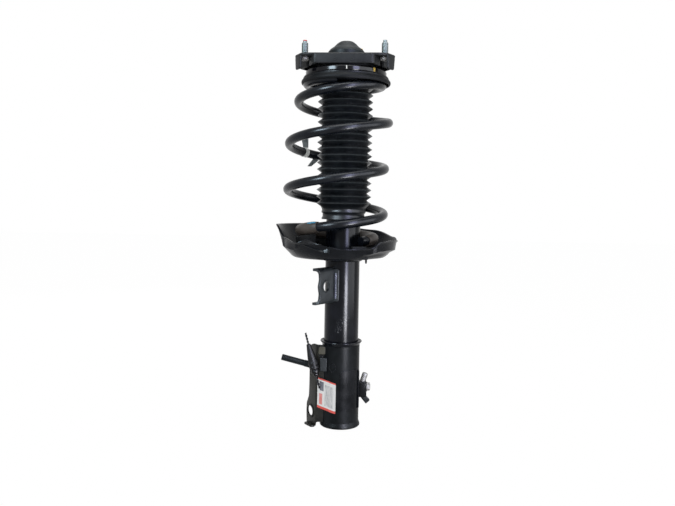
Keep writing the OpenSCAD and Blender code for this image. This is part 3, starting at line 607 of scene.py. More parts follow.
def bead_tree():
    """Weld ripples: overlapping drops along a chain of edges."""
    tree, given, output = node_tree("weld_bead", [("Pitch", "NodeSocketFloat", 0.0016),
        ("Drop", "NodeSocketFloat", 0.003), ("Seed", "NodeSocketInt", 3),
        ("Material", "NodeSocketMaterial", None)])
    to_curve, resample, drop, place, turn = add_nodes(tree, "MeshToCurve", "CurveToPoints",
        "MeshIcoSphere", "InstanceOnPoints", "ScaleInstances")
    size = tree.nodes.new("FunctionNodeRandomValue")
    size.data_type = "FLOAT"
    give(size, {2: 0.86, 3: 1.14})
    resample.mode = "LENGTH"
    drop.inputs["Subdivisions"].default_value = 3
    wire_up(tree, (given, "Geometry", to_curve, 0), (to_curve, 0, resample, "Curve"),
        (given, "Pitch", resample, "Length"), (given, "Drop", drop, "Radius"),
        (given, "Seed", size, "Seed"), (resample, "Points", place, "Points"),
        (drop, "Mesh", place, "Instance"), (resample, "Rotation", place, "Rotation"),
        (place, 0, turn, "Instances"), (size, 1, turn, "Scale"))
    end_tree(tree, given, output, turn)
    return tree


def ring_tree():
    """Copies of a piece round the rod's axis."""
    tree, given, output = node_tree("round_the_axis", [("Count", "NodeSocketInt", 8),
        ("Material", "NodeSocketMaterial", None)])
    points, place, turn = add_nodes(tree, "Points", "InstanceOnPoints", "RotateInstances")
    index = tree.nodes.new("GeometryNodeInputIndex")
    divide, times = (tree.nodes.new("ShaderNodeMath") for _ in range(2))
    divide.operation, times.operation = "DIVIDE", "MULTIPLY"
    divide.inputs[0].default_value = 2 * pi
    axis = tree.nodes.new("ShaderNodeCombineXYZ")
    wire_up(tree, (given, "Count", points, "Count"), (given, "Count", divide, 1), (index, 0, times, 0),
        (divide, 0, times, 1), (times, 0, axis, "Z"), (points, 0, place, "Points"),
        (given, "Geometry", place, "Instance"), (place, 0, turn, "Instances"),
        (axis, 0, turn, "Rotation"))
    give(turn, {"Local Space": False, "Pivot Point": (0, 0, 0)})
    end_tree(tree, given, output, turn)
    return tree


trees = {"sweep": sweep_tree(), "bead": bead_tree(), "ring": ring_tree()}


def grow(piece, tree, **values):
    """Runs a tree on a piece and keeps the result as its mesh."""
    modifier = piece.modifiers.new(tree, "NODES")
    modifier.node_group = trees[tree]
    for socket in trees[tree].interface.items_tree:
        key = socket.name.replace(" ", "_").lower()
        if socket.in_out == "INPUT" and key in values:
            modifier[socket.identifier] = values[key]
    bake(piece)
    return piece


def chain(name, points, shares=None):
    """A chain of edges; each point may carry its share of the way as an attribute."""
    mesh = bpy.data.meshes.new(name)
    edges = [(i, i + 1) for i in range(len(points) - 1)]
    mesh.from_pydata([Vector(p) * MM for p in points], edges, [])
    if shares:
        attribute = mesh.attributes.new("share", "FLOAT", "POINT")
        attribute.data.foreach_set("value", shares)
    return new_object(name, mesh)


def sweep(name, points, radius, material, sides, shares=None):
    """A round wire along the points."""
    piece = grow(chain(name, points, shares), "sweep", radius=radius * MM, sides=sides,
        material=material)
    piece.data.materials.clear()
    piece.data.materials.append(material)
    return sharpen(piece, 50)


def weld(name, points, drop, material, pitch=None, seed=3):
    """A weld bead with ripples along the points."""
    piece = grow(chain(name, points), "bead", pitch=(pitch or drop * 0.42) * MM, drop=drop * MM,
        seed=seed, material=material)
    piece.data.shade_smooth()
    return piece


# ---- Bending sheets, and points round the axis ----

def slices(piece, axis, positions):
    """Cuts a mesh along planes across an axis, so that it can bend there."""
    work = bmesh.new()
    work.from_mesh(piece.data)
    normal = Vector([1.0 if i == axis else 0.0 for i in range(3)])
    for position in positions:
        bmesh.ops.bisect_plane(work, geom=work.verts[:] + work.edges[:] + work.faces[:], dist=1e-7,
            plane_co=normal * position * MM, plane_no=normal)
    work.to_mesh(piece.data)
    work.free()
    return piece


def moved(piece, place):
    """Moves a mesh by a function of its points in millimetres."""
    for vertex in piece.data.vertices:
        vertex.co = Vector(place(*(vertex.co / MM))) * MM
    piece.data.update()
    return piece


def fold(piece, at, radius, degrees, steps=6):
    """Folds the part of a flat plate beyond x = at about an axis along Y. The plate
    turns towards +Z with a positive angle and towards -Z with a negative one."""
    full = radians(abs(degrees))
    up = 1 if degrees > 0 else -1
    arc = radius * full
    slices(piece, 0, [at + arc * i / steps for i in range(steps + 1)])

    def place(x, y, z):
        if x <= at:
            return x, y, z
        turn = min((x - at) / radius, full)
        rest = max(x - at - arc, 0)
        reach = radius - up * z
        return (at + reach * sin(turn) + rest * cos(turn), y,
            up * (radius - reach * cos(turn) + rest * sin(turn)))
    return moved(piece, place)


def wrap(piece, radius, angle, z):
    """Wraps a flat plate round the rod's axis: x runs along the arc from the angle, y
    runs up, and the plate's thickness points outwards."""
    low = min(v.co.x for v in piece.data.vertices) / MM
    high = max(v.co.x for v in piece.data.vertices) / MM
    count = max(int((high - low) / 1.6), 4)
    slices(piece, 0, [low + (high - low) * i / count for i in range(1, count)])

    def place(x, y, depth):
        a = radians(angle) + x / radius
        return (radius + depth) * cos(a), (radius + depth) * sin(a), y + z
    return moved(piece, place)


def sheet_faces(rows, columns):
    """The faces of a sheet whose points run along its columns, row by row."""
    return [(i * columns + j, i * columns + j + 1, (i + 1) * columns + j + 1, (i + 1) * columns + j)
        for i in range(rows - 1) for j in range(columns - 1)]


def polar(radius, angle, z=0.0, aside=0.0):
    a = radians(angle)
    return Vector((radius * cos(a) + aside, radius * sin(a), z))


def by_angle(course, angle):
    """Reads a height from pairs of angle and height, eased between the pairs."""
    angle %= 360
    for (a, low), (b, high) in zip(course, course[1:]):
        if a <= angle <= b:
            return low + (high - low) * smooth_step(angle, a, b)
    return course[-1][1]


# ---- Camera, floor and light ----

def set_camera():
    camera = bpy.data.cameras.new("camera")
    camera.sensor_width = 36
    camera.lens = 37.75
    camera.shift_y = -0.0735
    holder = new_object("camera", camera)
    place = (Matrix.Translation(Vector((-9.6, -1100, 342.6)) * MM) @ Matrix.Rotation(radians(90), 4,
        "X") @ Matrix.Rotation(radians(1.1), 4, "Z"))
    holder.matrix_world = place
    bpy.context.scene.camera = holder


def white_for_eyes(tree, other, white):
    """White where the camera, a reflection or glass looks, another shader elsewhere."""
    rays = tree.nodes.new("ShaderNodeLightPath")
    eyes = solve(tree, "MAXIMUM", rays.outputs["Is Camera Ray"], rays.outputs["Is Glossy Ray"])
    eyes = solve(tree, "MAXIMUM", eyes, rays.outputs["Is Transmission Ray"])
    mix = tree.nodes.new("ShaderNodeMixShader")
    tree.links.new(eyes, mix.inputs[0])
    tree.links.new(other, mix.inputs[1])
    tree.links.new(white, mix.inputs[2])
    return mix.outputs[0]


def set_world():
    world = bpy.data.worlds.new("studio")
    bpy.context.scene.world = world
    world.use_nodes = True
    tree = world.node_tree
    soft = tree.nodes["Background"]
    give(soft, {"Color": (0.93, 0.96, 1.0, 1), "Strength": 0.45})
    white = tree.nodes.new("ShaderNodeBackground")
    give(white, {"Color": (1, 1, 1, 1), "Strength": 1.0})
    seen = white_for_eyes(tree, soft.outputs[0], white.outputs[0])
    tree.links.new(seen, tree.nodes["World Output"].inputs["Surface"])


def set_floor():
    material, tree, shader = new_finish("floor")
    give(shader, {"Base Color": (0.86, 0.86, 0.86, 1), "Roughness": 0.9, "Specular IOR Level": 0.0})
    glow = tree.nodes.new("ShaderNodeEmission")
    glow.inputs["Strength"].default_value = 1.0
    bright = tree.nodes.new("ShaderNodeMixShader")
    bright.inputs[0].default_value = 0.99
    tree.links.new(shader.outputs[0], bright.inputs[1])
    tree.links.new(glow.outputs[0], bright.inputs[2])
    seen = white_for_eyes(tree, shader.outputs[0], bright.outputs[0])
    tree.links.new(seen, tree.nodes["Material Output"].inputs["Surface"])
    size, level = 6000, cad_box[0][2] / MM - 0.05
    floor = add_piece("floor", [(-size, -size, level), (size, -size, level), (size, size, level),
        (-size, size, level)], [(0, 1, 2, 3)], material, smooth=False)


def soft_box(name, place, target, width, height, power, colour, seen="both"):
    """An area light; seen is what it lights: gloss, matte or both."""
    lamp = bpy.data.lights.new(name, "AREA")
    lamp.shape = "RECTANGLE"
    lamp.size, lamp.size_y = width * MM, height * MM
    lamp.energy = power
    lamp.color = colour
    holder = new_object(name, lamp)
    holder.visible_camera = False
    holder.visible_diffuse = seen != "gloss"
    holder.visible_glossy = seen != "matte"
    place, target = Vector(place) * MM, Vector(target) * MM
    holder.matrix_world = (Matrix.Translation(place) @ (target - place).to_track_quat("-Z",
        "Y").to_matrix().to_4x4())


set_camera()
set_world()
set_floor()
middle = (0, 0, 300)
soft_box("window_right", (700, -1370, 620), middle, 420, 1500, 52, (0.66, 0.68, 1.0), "gloss")
soft_box("window_left", (-1000, -1200, 1000), middle, 520, 700, 66, (0.72, 0.88, 1.0), "gloss")
soft_box("right_room", (1150, -620, 350), middle, 1300, 1300, 34, (0.93, 0.96, 1.0), "gloss")
soft_box("low_strip", (300, -590, 105), (0, 0, 150), 170, 200, 8, (0.95, 0.96, 1.0), "gloss")
soft_box("front_fill", (-300, -1900, 900), middle, 1600, 1400, 16, (1.0, 1.0, 1.0), "matte")
soft_box("ceiling_gloss", (0, -900, 1900), middle, 1500, 500, 24, (0.9, 0.95, 1.0), "gloss")
soft_box("ceiling", (100, -100, 1900), middle, 1400, 1400, 22, (1.0, 1.0, 0.97))
soft_box("back_light", (-500, 1500, 800), middle, 900, 1200, 14, (0.95, 0.97, 1.0), "matte")
bpy.context.scene.view_settings.view_transform = "Standard"


# ---- The spring's wire ----

TUBE_R = 26.5
SLEEVE_R = 29.0
WIRE_R = 7.0
END_SLEEVE_R = 9.2
WIRE_START, WIRE_END = -0.14, 4.72
LOW_RISE, HIGH_RISE, TOP_RISE = 0.225, 0.82, 0.015
spring_low, spring_high = cad_size("coil_spring")
SPRING_FOOT = spring_low.z + WIRE_R
SPRING_HEAD = spring_high.z - WIRE_R


def step_area(t, a, b):
    """The area under smooth_step up to t."""
    share = min(max((t - a) / (b - a), 0), 1)
    return (b - a) * (share ** 3 - share ** 4 / 2) + max(0, t - b)


def rise(t):
    return (LOW_RISE * (t - WIRE_START) + (1 - LOW_RISE) * step_area(t, 0.1, 1.1) + (HIGH_RISE - 1)
        * step_area(t, 2.9, 3.4) + (TOP_RISE - HIGH_RISE) * step_area(t, 3.75, 4.15))


def wire_point(t):
    """The middle of the wire at t turns from +X."""
    radius = (55 + (74.8 - 55) * smooth_step(t, 0.4, 1.15) + (57.8 - 74.8) * smooth_step(t, 3.05, 4))
    shift = (-9 - 3.4 * smooth_step(t, 0.5, 1.5) + 5.4 * smooth_step(t, 2.2, 3.2) + 5 * smooth_step(t,
        3.3, 4))
    height = SPRING_FOOT + (SPRING_HEAD - SPRING_FOOT) * rise(t) / rise(WIRE_END)
    angle = 2 * pi * t
    return Vector((shift + radius * cos(angle), radius * sin(angle), height))


def wire_turns(start, end, per_turn):
    count = max(int((end - start) * per_turn), 3)
    return [start + (end - start) * i / count for i in range(count + 1)]


def wire_points(start, end, per_turn):
    return [wire_point(t) for t in wire_turns(start, end, per_turn)]


def cross_axes(points):
    """At each point of a wire, the level direction across it and the one above."""
    axes = []
    for i in range(len(points)):
        along = (points[min(i + 1, len(points) - 1)] - points[max(i - 1, 0)]).normalized()
        side = along.cross(Vector((0, 0, 1))).normalized()
        axes.append((side, side.cross(along)))
    return axes


def follow_coil(piece):
    """Bakes the piece's place into its mesh."""
    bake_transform(piece)


# ---- Spring, its rubber sleeve, pad and tag ----

def make_spring():
    turns = wire_turns(WIRE_START, WIRE_END, 64)
    spring = sweep("coil_spring_wire", [wire_point(t) for t in turns], WIRE_R - 0.02, spring_paint,
        sides=28, shares=turns)
    turn_at = [0.0] * len(spring.data.vertices)
    spring.data.attributes["share"].data.foreach_get("value", turn_at)
    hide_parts("coil_spring")
    follow_coil(spring)


def make_end_sleeve():
    start, end = WIRE_START + 0.035, 0.675
    points = wire_points(start, end, 90)
    rings = []
    for i, (point, (side, up)) in enumerate(zip(points, cross_axes(points))):
        near = min(i, len(points) - 1 - i)
        swell = 1 - 0.14 * max(0, 1 - near / 3) ** 2
        reach = END_SLEEVE_R * swell
        rings.append([point + reach * (cos(a) * side + sin(a) * up)
            for a in (2 * pi * k / 32 for k in range(32))])
    inner = []
    for ring, point in zip(rings, points):
        inner.append([point + (p - point).normalized() * (WIRE_R + 0.03) for p in ring])
    sleeve = skin("spring_end_sleeve_rubber", rings + inner[::-1], sleeve_rubber, 40)
    dress(sleeve, "strut_tube", "spring_end_sleeve")


def patch_on_wire(name, start, end, radius, low, high, material):
    """A thin painted patch on a wire, between two angles round it (90 is its top)."""
    points = wire_points(start, end, 160)
    outer = []
    for point, (side, up) in zip(points, cross_axes(points)):
        angles = [radians(low + (high - low) * k / 8) for k in range(9)]
        rim = [cos(a) * side + sin(a) * up for a in angles]
        outer.append([point + (radius + 0.12) * r for r in rim] + [point + (radius - 0.2) * r
            for r in rim[::-1]])
    return skin(name, outer, material, 40, capped=True)


def make_marks():
    stripe = patch_on_wire("blue_stripe", 0.632, 0.672, END_SLEEVE_R, 44, 64, blue_mark)
    dress(stripe, "strut_tube")
    dot = patch_on_wire("yellow_dot", -0.104, -0.094, WIRE_R, 22, 50, yellow_mark)
    dress(dot, "strut_tube")


def make_pad():
    """The rubber pad that climbs under the lower end coil."""
    floor = cad_size("lower_insulator")[0].z + 9
    rings = []
    points = wire_points(WIRE_START + 0.002, 0.645, 60)
    for point in points:
        out = Vector((point.x + 9, point.y, 0)).normalized()
        top = point.z - END_SLEEVE_R - 0.4
        profile = rounded([(-8, floor, 0), (8, floor, 0), (8, top - 1, 2.5), (5.2, top, 1),
            (-5.2, top, 1), (-8, top - 1, 2.5)], 3)
        rings.append([Vector((point.x, point.y, z)) + out * across for across, z in profile])
    pad = skin("lower_insulator_pad", rings, seat_rubber, 40, capped=True)
    nub = lathe("nub", [(0, 0), (0.9, 0, 0.5), (1.5, 3, 0.5), (1.5, 11), (0, 11)], seat_rubber,
        segments=24)
    shift(nub, (35, -34, floor - 9))
    stop = flat_plate("stop", [(-9, 0, 1.5), (9, 0, 1.5), (9, 15, 4), (-9, 15, 4)], 13,
        place_at((0, 0, 0), (1, 0, 0), (0, -1, 0)), seat_rubber, 1.2)
    tip = wire_point(WIRE_START - 0.022)
    stand(stop, (tip.x, tip.y, floor), (cos(radians(-60)), sin(radians(-60)), 0), (0, 0, 1))
    guard = flat_plate("guard", [(-13, 0, 2), (13, 0, 2), (13, 16, 3), (8, 19.5, 3), (-13, 19.5, 2)],
        7, place_at((24, -64.5, floor - 1), (1, 0.42, 0), (0.42, -1, 0)), seat_rubber, 1.2)
    pad = join([pad, nub, stop, guard], "lower_insulator_pad", 40)
    dress(pad, "strut_tube", "lower_insulator")


TAG_TURN = WIRE_START + (WIRE_END - WIRE_START) * 60.5 / 117


def make_tag():
    """A crumpled paper tag that a white band ties to the wire."""
    points = wire_points(TAG_TURN - 0.008, TAG_TURN + 0.008, 1200)
    band = sweep("tag_band", points, WIRE_R + 0.75, tie_plastic, sides=40)
    middle = wire_point(TAG_TURN)
    end_turn = max(TAG_TURN - 0.04, TAG_TURN + 0.04, key=lambda turn: wire_point(turn).x)
    pieces = []
    for name, root, foot, height, lean in (("tag", middle, WIRE_R + 0.7, 18.5, 1),
            ("flap", wire_point(end_turn), -WIRE_R + 0.6, -12.5, -1)):
        rows = []
        for i in range(15):
            along = i / 14
            for j in range(9):
                width = 8.4 + 3.4 * along if lean > 0 else 12 - 6 * along
                side = -0.1 * height * along if lean > 0 else 3 - 12 * along
                wave = 1.4 * sin(5 * along + 0.6 * j) * along
                rows.append(root + Vector(((j / 8 - 0.5) * width + side + 1.2, wave,
                    foot + height * along)))
        strip = add_piece(name, rows, sheet_faces(15, 9), tag_plastic)
        pieces.append(bake(thicken(strip, 0.5, 0)))
    tag = join(pieces, "paper_tag", 40)
    for piece, node in ((band, "tag_tie"), (tag, "spring_tag")):
        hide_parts(node)
        follow_coil(piece)


# ---- Damper tube, sleeve and lower seat ----

def make_tubes():
    low, high = cad_size("outer_tube")
    tube = lathe("outer_tube_body", [(24, low.z), (TUBE_R, low.z, 0.6), (TUBE_R, high.z, 0.6),
        (24, high.z)], tube_paint)
    low, high = cad_size("lower_sleeve")
    sleeve = lathe("lower_sleeve_body", [(26.56, 0), (29.6, 0, 1.2), (30.98, 1.4, 1), (30.6, 3.4, 2),
        (SLEEVE_R, 8.5, 3), (SLEEVE_R, high.z - 0.2), (26.56, high.z - 0.2)], sleeve_paint)
    lip = lathe("sleeve_lip", [(26.58, 125.0), (SLEEVE_R, 125.0, 1.5), (30.4, 127.6, 1.4),
        (32.2, 129.6, 0.8), (31.6, 131.2, 0.7), (29.4, 130.0, 1.2), (27.6, 129.0, 0.8),
        (26.58, 129.6)], tube_paint)
    for piece, node in ((tube, "outer_tube"), (sleeve, "lower_sleeve"), (lip, "sleeve_weld")):
        dress(piece, "strut_tube", node)


RIM_COURSE = [(0, 286), (20, 291), (55, 300), (90, 304), (120, 309), (183, 309), (198, 290),
    (218, 284), (245, 284), (259, 279.5), (272, 276.5), (286, 276.5), (301, 277), (314, 287),
    (330, 289.5), (345, 288), (360, 286)]
DISH_Z = 259.0
DISH_ASIDE = -4


def dish_section(angle):
    """One cut through the seat: out along its underside, up to the rim and back."""
    rim = by_angle(RIM_COURSE, angle)
    sheet, turn = 2.3, 12.0
    reach = turn * cos(radians(30))
    wall = 75 - reach + turn / 4

    def foot(radius):
        angles = [radians(a) for a in range(-90, -29, 10)]
        return [(wall + radius * cos(a), DISH_Z + turn + radius * sin(a)) for a in angles]
    top = wall + reach + 0.5 * (rim - DISH_Z - turn / 2)
    left = max(0, -cos(radians(angle)))
    belly = (min(wall + reach + 7 + 5 * left, top - 3), DISH_Z + 0.42 * (rim - DISH_Z) + 2)
    under = [(TUBE_R + 0.1, DISH_Z + 10), (TUBE_R + 0.1, DISH_Z), (44, DISH_Z)]
    under += foot(turn)[:-1]
    under += [belly, (top - 2.1, rim - 3.2), (top - 0.7, rim - 1.4), (top + 0.1, rim - 0.6),
        (top - 0.1, rim)]
    over = [(TUBE_R + 2.5, DISH_Z + 10), (TUBE_R + 2.7, DISH_Z + 4.4), (TUBE_R + 5, DISH_Z + sheet),
        (44, DISH_Z + sheet)]
    over += foot(turn - sheet)[:-1]
    over += [(belly[0] - sheet, belly[1] + 0.6), (top - 2.3 - sheet, rim - 2.6),
        (top - 0.9 - sheet, rim - 0.5), (top - 1.4, rim - 0.05)]
    return under + over[::-1]


def make_fold():
    """The sheet's folded edge that runs down inside the rim at its front."""
    points = []
    for i in range(41):
        angle = 219 + 41 * i / 40
        sink = smooth_step(i, 0, 10) * (1 - smooth_step(i, 22, 40))
        rim = by_angle(RIM_COURSE, angle)
        top = 291 - 13 * smooth_step(angle, 219, 262)
        out = max(r for r, z in dish_section(angle) if abs(z - rim) < 4)
        for inward, drop in ((8.5 * sink + 2.2, 0), (6.5 * sink + 2.0, 3), (1.6, 8)):
            points.append(polar(out - inward, angle, min(top, rim + 6 * sink - 1) - drop, DISH_ASIDE))
    fold_sheet = add_piece("seat_fold", points, sheet_faces(41, 3), black_paint)
    bake(thicken(fold_sheet, 1.3, 0))
    sharpen(fold_sheet, 40)
    dress(fold_sheet, "strut_tube")


def make_dish():
    rings = []
    for i in range(288):
        angle = 360 * i / 288
        ring = []
        for r, z in dish_section(angle):
            aside = DISH_ASIDE * smooth_step(r, 30, 60)
            if z < DISH_Z + 9:
                raised = smooth_step(cos(radians(angle)), 0.2, 0.8)
                z += 6 * raised * smooth_step(r, 60, 80)
            ring.append(polar(r, angle, z, aside))
        rings.append(ring)
    dish = skin("lower_seat_dish", rings, black_paint, 38)
    dress(dish, "strut_tube", "lower_spring_seat")
    make_fold()
    turns = [polar(TUBE_R + 1.2, 360 * i / 120, DISH_Z - 2.4) for i in range(121)]
    bead = weld("seat_weld_bead", turns, 2.6, black_paint)
    dress(bead, "strut_tube", "seat_weld")


# ---- Dust boot and the upper stack ----


def make_boot():
    low, high = cad_size("dust_boot")
    ribs = 18
    foot, top = low.z + 19.5, high.z - 10
    pitch = (top - foot) / ribs
    wall, steps = 1.5, 12
    outer = [(radius, low.z + z) for radius, z in ((33.9, 0), (33.9, 2.4), (32.6, 4.2), (32.4, 8.8),
        (34.2, 10.6), (34.4, 12.4), (33.4, 13.8), (33.9, 16.4))]
    for i in range(ribs * steps + 1):
        bulge = 1 - abs(2 * (i % steps / steps) - 1)
        soft = bulge ** 1.25 * (1.3 - 0.3 * bulge)
        outer.append((35.6 + 7.1 * min(soft, 1), foot + pitch * i / steps))
    outer.append((35.4, high.z))
    inner = [(radius - wall, z) for radius, z in outer]
    boot = lathe("dust_boot_bellows", outer + inner[::-1], boot_rubber, segments=128)
    sharpen(boot, 60)
    dress(boot, "upper_seat", "dust_boot")
    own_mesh(boot)


def make_upper_seat():
    low, high = cad_size("upper_insulator")
    roof = high.z - 1.5
    lip = lathe("upper_insulator_lip", [(45.5, high.z), (45.5, low.z + 1, 1), (48.4, low.z + 1, 0.8),
        (48.6, roof, 2), (67.0, roof, 2), (66.2, low.z, 0.9), (68.4, low.z, 1.4),
        (69.45, low.z + 3, 1.5), (68.8, low.z + 5.4, 1.5), (66.4, high.z - 1.6, 1.5), (66.2, high.z)],
        seat_rubber)
    low, high = cad_size("upper_spring_seat")
    seat = lathe("upper_seat_pan", [(35.9, low.z), (37.7, low.z, 0.5), (37.7, high.z - 2, 1),
        (65.3, high.z - 2, 0.4), (65.3, high.z, 0.8), (35.9, high.z)], black_paint)
    for piece, node, slot in ((lip, "upper_insulator", "seat_rubber"),
            (seat, "upper_spring_seat", "black_paint")):
        dress(piece, "upper_seat", node)


def make_cover():
    low, high = cad_size("bearing_upper_race")
    out = high.x
    cover = lathe("bearing_cover", [(40, high.z - 3.5), (44, high.z - 3.5), (44, high.z - 4.9, 0.3),
        (47.2, high.z - 4.9, 0.3), (50, high.z - 3.6, 1.5), (52.8, high.z - 4.9, 0.3),
        (56, high.z - 4.9, 0.3), (56, high.z - 3.5), (out - 2.4, high.z - 3.5, 0.8),
        (out - 2.4, low.z, 0.4), (out - 0.6, low.z, 0.5), (out, low.z + 1.6, 0.4),
        (out, high.z - 2.2, 1.8), (out - 2.4, high.z - 0.4, 1.2), (54, high.z), (40, high.z)],
        cover_plastic, segments=192)
    dress(cover, "top_mount", "bearing_upper_race")
    mark = flat_plate("yellow_paint_mark", [(-1.9, -3, 0.5), (2.0, -3.1, 0.5), (1.8, 2.9, 0.6),
        (-2.1, 3.0, 0.5)], 0.2, Matrix(), yellow_mark, 0.05)
    wrap(mark, out + 0.02, 311.5, (low.z + high.z) / 2 - 0.3)
    grey = flat_plate("grey_paint_mark", [(-0.8, -2.6, 0.4), (0.9, -2.7, 0.4), (0.7, 2.6, 0.4),
        (-0.9, 2.5, 0.4)], 0.2, Matrix(), tie_plastic, 0.05)
    wrap(grey, out + 0.02, 270, (low.z + high.z) / 2)
    for piece in (mark, grey):
        dress(piece, "top_mount")


STUD_ANGLES = (85, 205, 325)
STUD_RING = 69.8
MOUNT_FLAT = 58.0
EAR_END = 82.8


def mount_outline():
    """The mount's plan: flat sides, and an ear with round corners at each stud."""
    outline = []
    for angle in STUD_ANGLES:
        a = radians(angle)
        for along, across in ((EAR_END - 11, -20.5), (EAR_END - 1, -11), (EAR_END - 1, 11),
                (EAR_END - 11, 20.5)):
            outline.append((along * cos(a) - across * sin(a), along * sin(a) + across * cos(a), 8))
    return outline


def make_mount():
    wall_z, top = 549.5, cad_size("mount_plate")[1].z
    plate = flat_plate("plate", mount_outline(), 4.2, Matrix.Translation((0, 0, top - 2.1)),
        mount_paint, 1.9, steps=6, holes=[circle(42, steps=96)])
    parts = [plate]
    hub = lathe("hub", [(40, 547.5), (43.6, 547.5, 1.0), (44, top - 3, 3), (48, top - 0.02, 0.2),
        (43.4, top, 0.6), (40, top, 1)], mount_paint)
    parts.append(hub)
    for angle in STUD_ANGLES:
        side = angle + 60
        skirt = [(-45, 0, 6), (45, 0, 6), (54, 22, 6), (51.5, 24.5, 2), (40, 3.6, 5), (-40, 3.6, 5),
            (-51.5, 24.5, 2), (-54, 22, 6)]
        wall = flat_plate("wall", skirt, top - wall_z - 1.5, place_at((0, 0, (top + wall_z - 1.5) / 2),
            polar(1, side - 90), (0, 0, -1)), mount_paint, 1.7, steps=6)
        shift(wall, polar(MOUNT_FLAT - 0.1, side))
        parts.append(wall)
        flange = flat_plate("flange", [(-8.5, 543.5, 3), (8.5, 543.5, 3), (10.5, top - 6, 3),
            (10, top - 1, 3), (-10, top - 1, 3), (-10.5, top - 6, 3)], 3.2,
            place_at(polar(EAR_END - 3.0, angle), polar(1, angle + 90), polar(1, angle)), mount_paint,
            1.2)
        parts.append(flange)
        collar = lathe("collar", [(5.6, top - 0.3), (9.5, top - 0.3), (8.2, top + 0.5, 0.6),
            (5.6, top + 0.6)], mount_paint, segments=64)
        shift(collar, polar(STUD_RING, angle))
        parts.append(collar)
        for offset in (-13, 13):
            dimple = lathe("dimple", [(0, 0), (2.1, 0, 0.5), (2.1, 0.7, 0.3), (1.2, 0.7, 0.2),
                (1.0, 0.2, 0.2), (0, 0.2)], mount_paint, segments=32)
            stand(dimple, polar(MOUNT_FLAT, side, wall_z + 5.5) + polar(offset, side - 90), (0, 0, 1),
                polar(1, side))
            parts.append(dimple)
    mount = join(parts, "mount_stamping")
    dress(mount, "top_mount", "mount_plate")


def thread(name, radius, depth, low, high, pitch, material):
    """A rolled thread: a thin wire wound round a bolt, sunk into its flank."""
    points = []
    count = int((high - low) / pitch * 28)
    for i in range(count + 1):
        z = low + (high - low) * i / count
        sink = depth * max(0, 1 - min(i, count - i) / 20)
        points.append(polar(radius - depth * 0.9 - sink, 360 * (z - low) / pitch, z))
    return sweep(name, points, depth, material, sides=6)


def make_studs():
    low, high = cad_size("mount_studs")
    top, shelf = high.z, cad_size("mount_plate")[1].z
    for number, angle in enumerate(STUD_ANGLES, 1):
        head = lathe("head", [(0, low.z + 0.2), (6.0, low.z + 0.2, 0.6), (7.3, low.z + 1.4, 0.8),
            (7.3, shelf - 4.3, 0.3), (0, shelf - 4.3)], pale_zinc, segments=48)
        shank = lathe("shank", [(0, shelf - 4.2), (5.3, shelf - 4.2), (5.3, shelf + 0.2, 0.3),
            (4.45, shelf + 0.8), (4.45, top - 4.4, 0.2), (3.1, top - 3.1, 0.3), (3.1, top - 0.6, 0.4),
            (2.5, top, 0.2), (0, top)], zinc, segments=48)
        ridge = thread("ridge", 5.0, 0.42, shelf + 1.6, top - 4.6, 1.5, zinc)
        stud = join([shank, ridge, head], "mount_stud_%d" % number, 40)
        shift(stud, polar(STUD_RING, angle))
        dress(stud, "top_mount", "mount_studs" if number == 1 else None)
    tip = lathe("red_tip", [(0, top - 1.6), (3.14, top - 1.6), (3.16, top - 0.6, 0.4),
        (2.5, top + 0.02, 0.2), (0, top + 0.02)], red_mark, segments=48)
    shift(tip, polar(STUD_RING, STUD_ANGLES[1]))
    dress(tip, "top_mount")


def make_cap():
    low, high = cad_size("dust_cap")
    top = high.z
    side = [(28, low.z, 0.5), (28.6, top - 17, 1.5), (25.6, top - 13.2, 5), (19.6, top - 8.8, 9),
        (15.2, top - 4.2, 7), (10.4, top - 0.6, 5), (5.5, top, 3)]
    wall = 2.0
    inside = [(r - wall if r > 7 else 6.5, z - (wall if z > low.z + 8 else 0), *more) for r, z,
        *more in side]
    inside[0] = (26, low.z)
    cap = lathe("dust_cap_dome", side + [(0, top), (0, top - wall)] + inside[::-1], cap_rubber, steps=8)
    sharpen(cap, 55)
    spot = lathe("spot", [(0, 0), (1.3, 0), (1.2, 0.5, 0.2), (0, 0.5)], yellow_mark, segments=24)
    stand(spot, polar(26.6, 333, top - 13.6), (0, 0, 1), polar(1, 333, 0.7))
    dress(spot, "top_mount")
    dress(cap, "top_mount", "dust_cap")
    bush = lathe("mount_bush", [(14.2, 551), (30, 551), (39.9, 553), (39.9, 566.2, 1),
        (30.5, 566.0, 3), (27, 563.5, 2), (22.2, 566.2, 1), (14.2, 561)], cap_rubber)
    dress(bush, "top_mount", "mount_rubber")


# ---- Brackets and small parts on the damper ----

LINK_ANGLE = 235
LINK_HOLE = 50.0


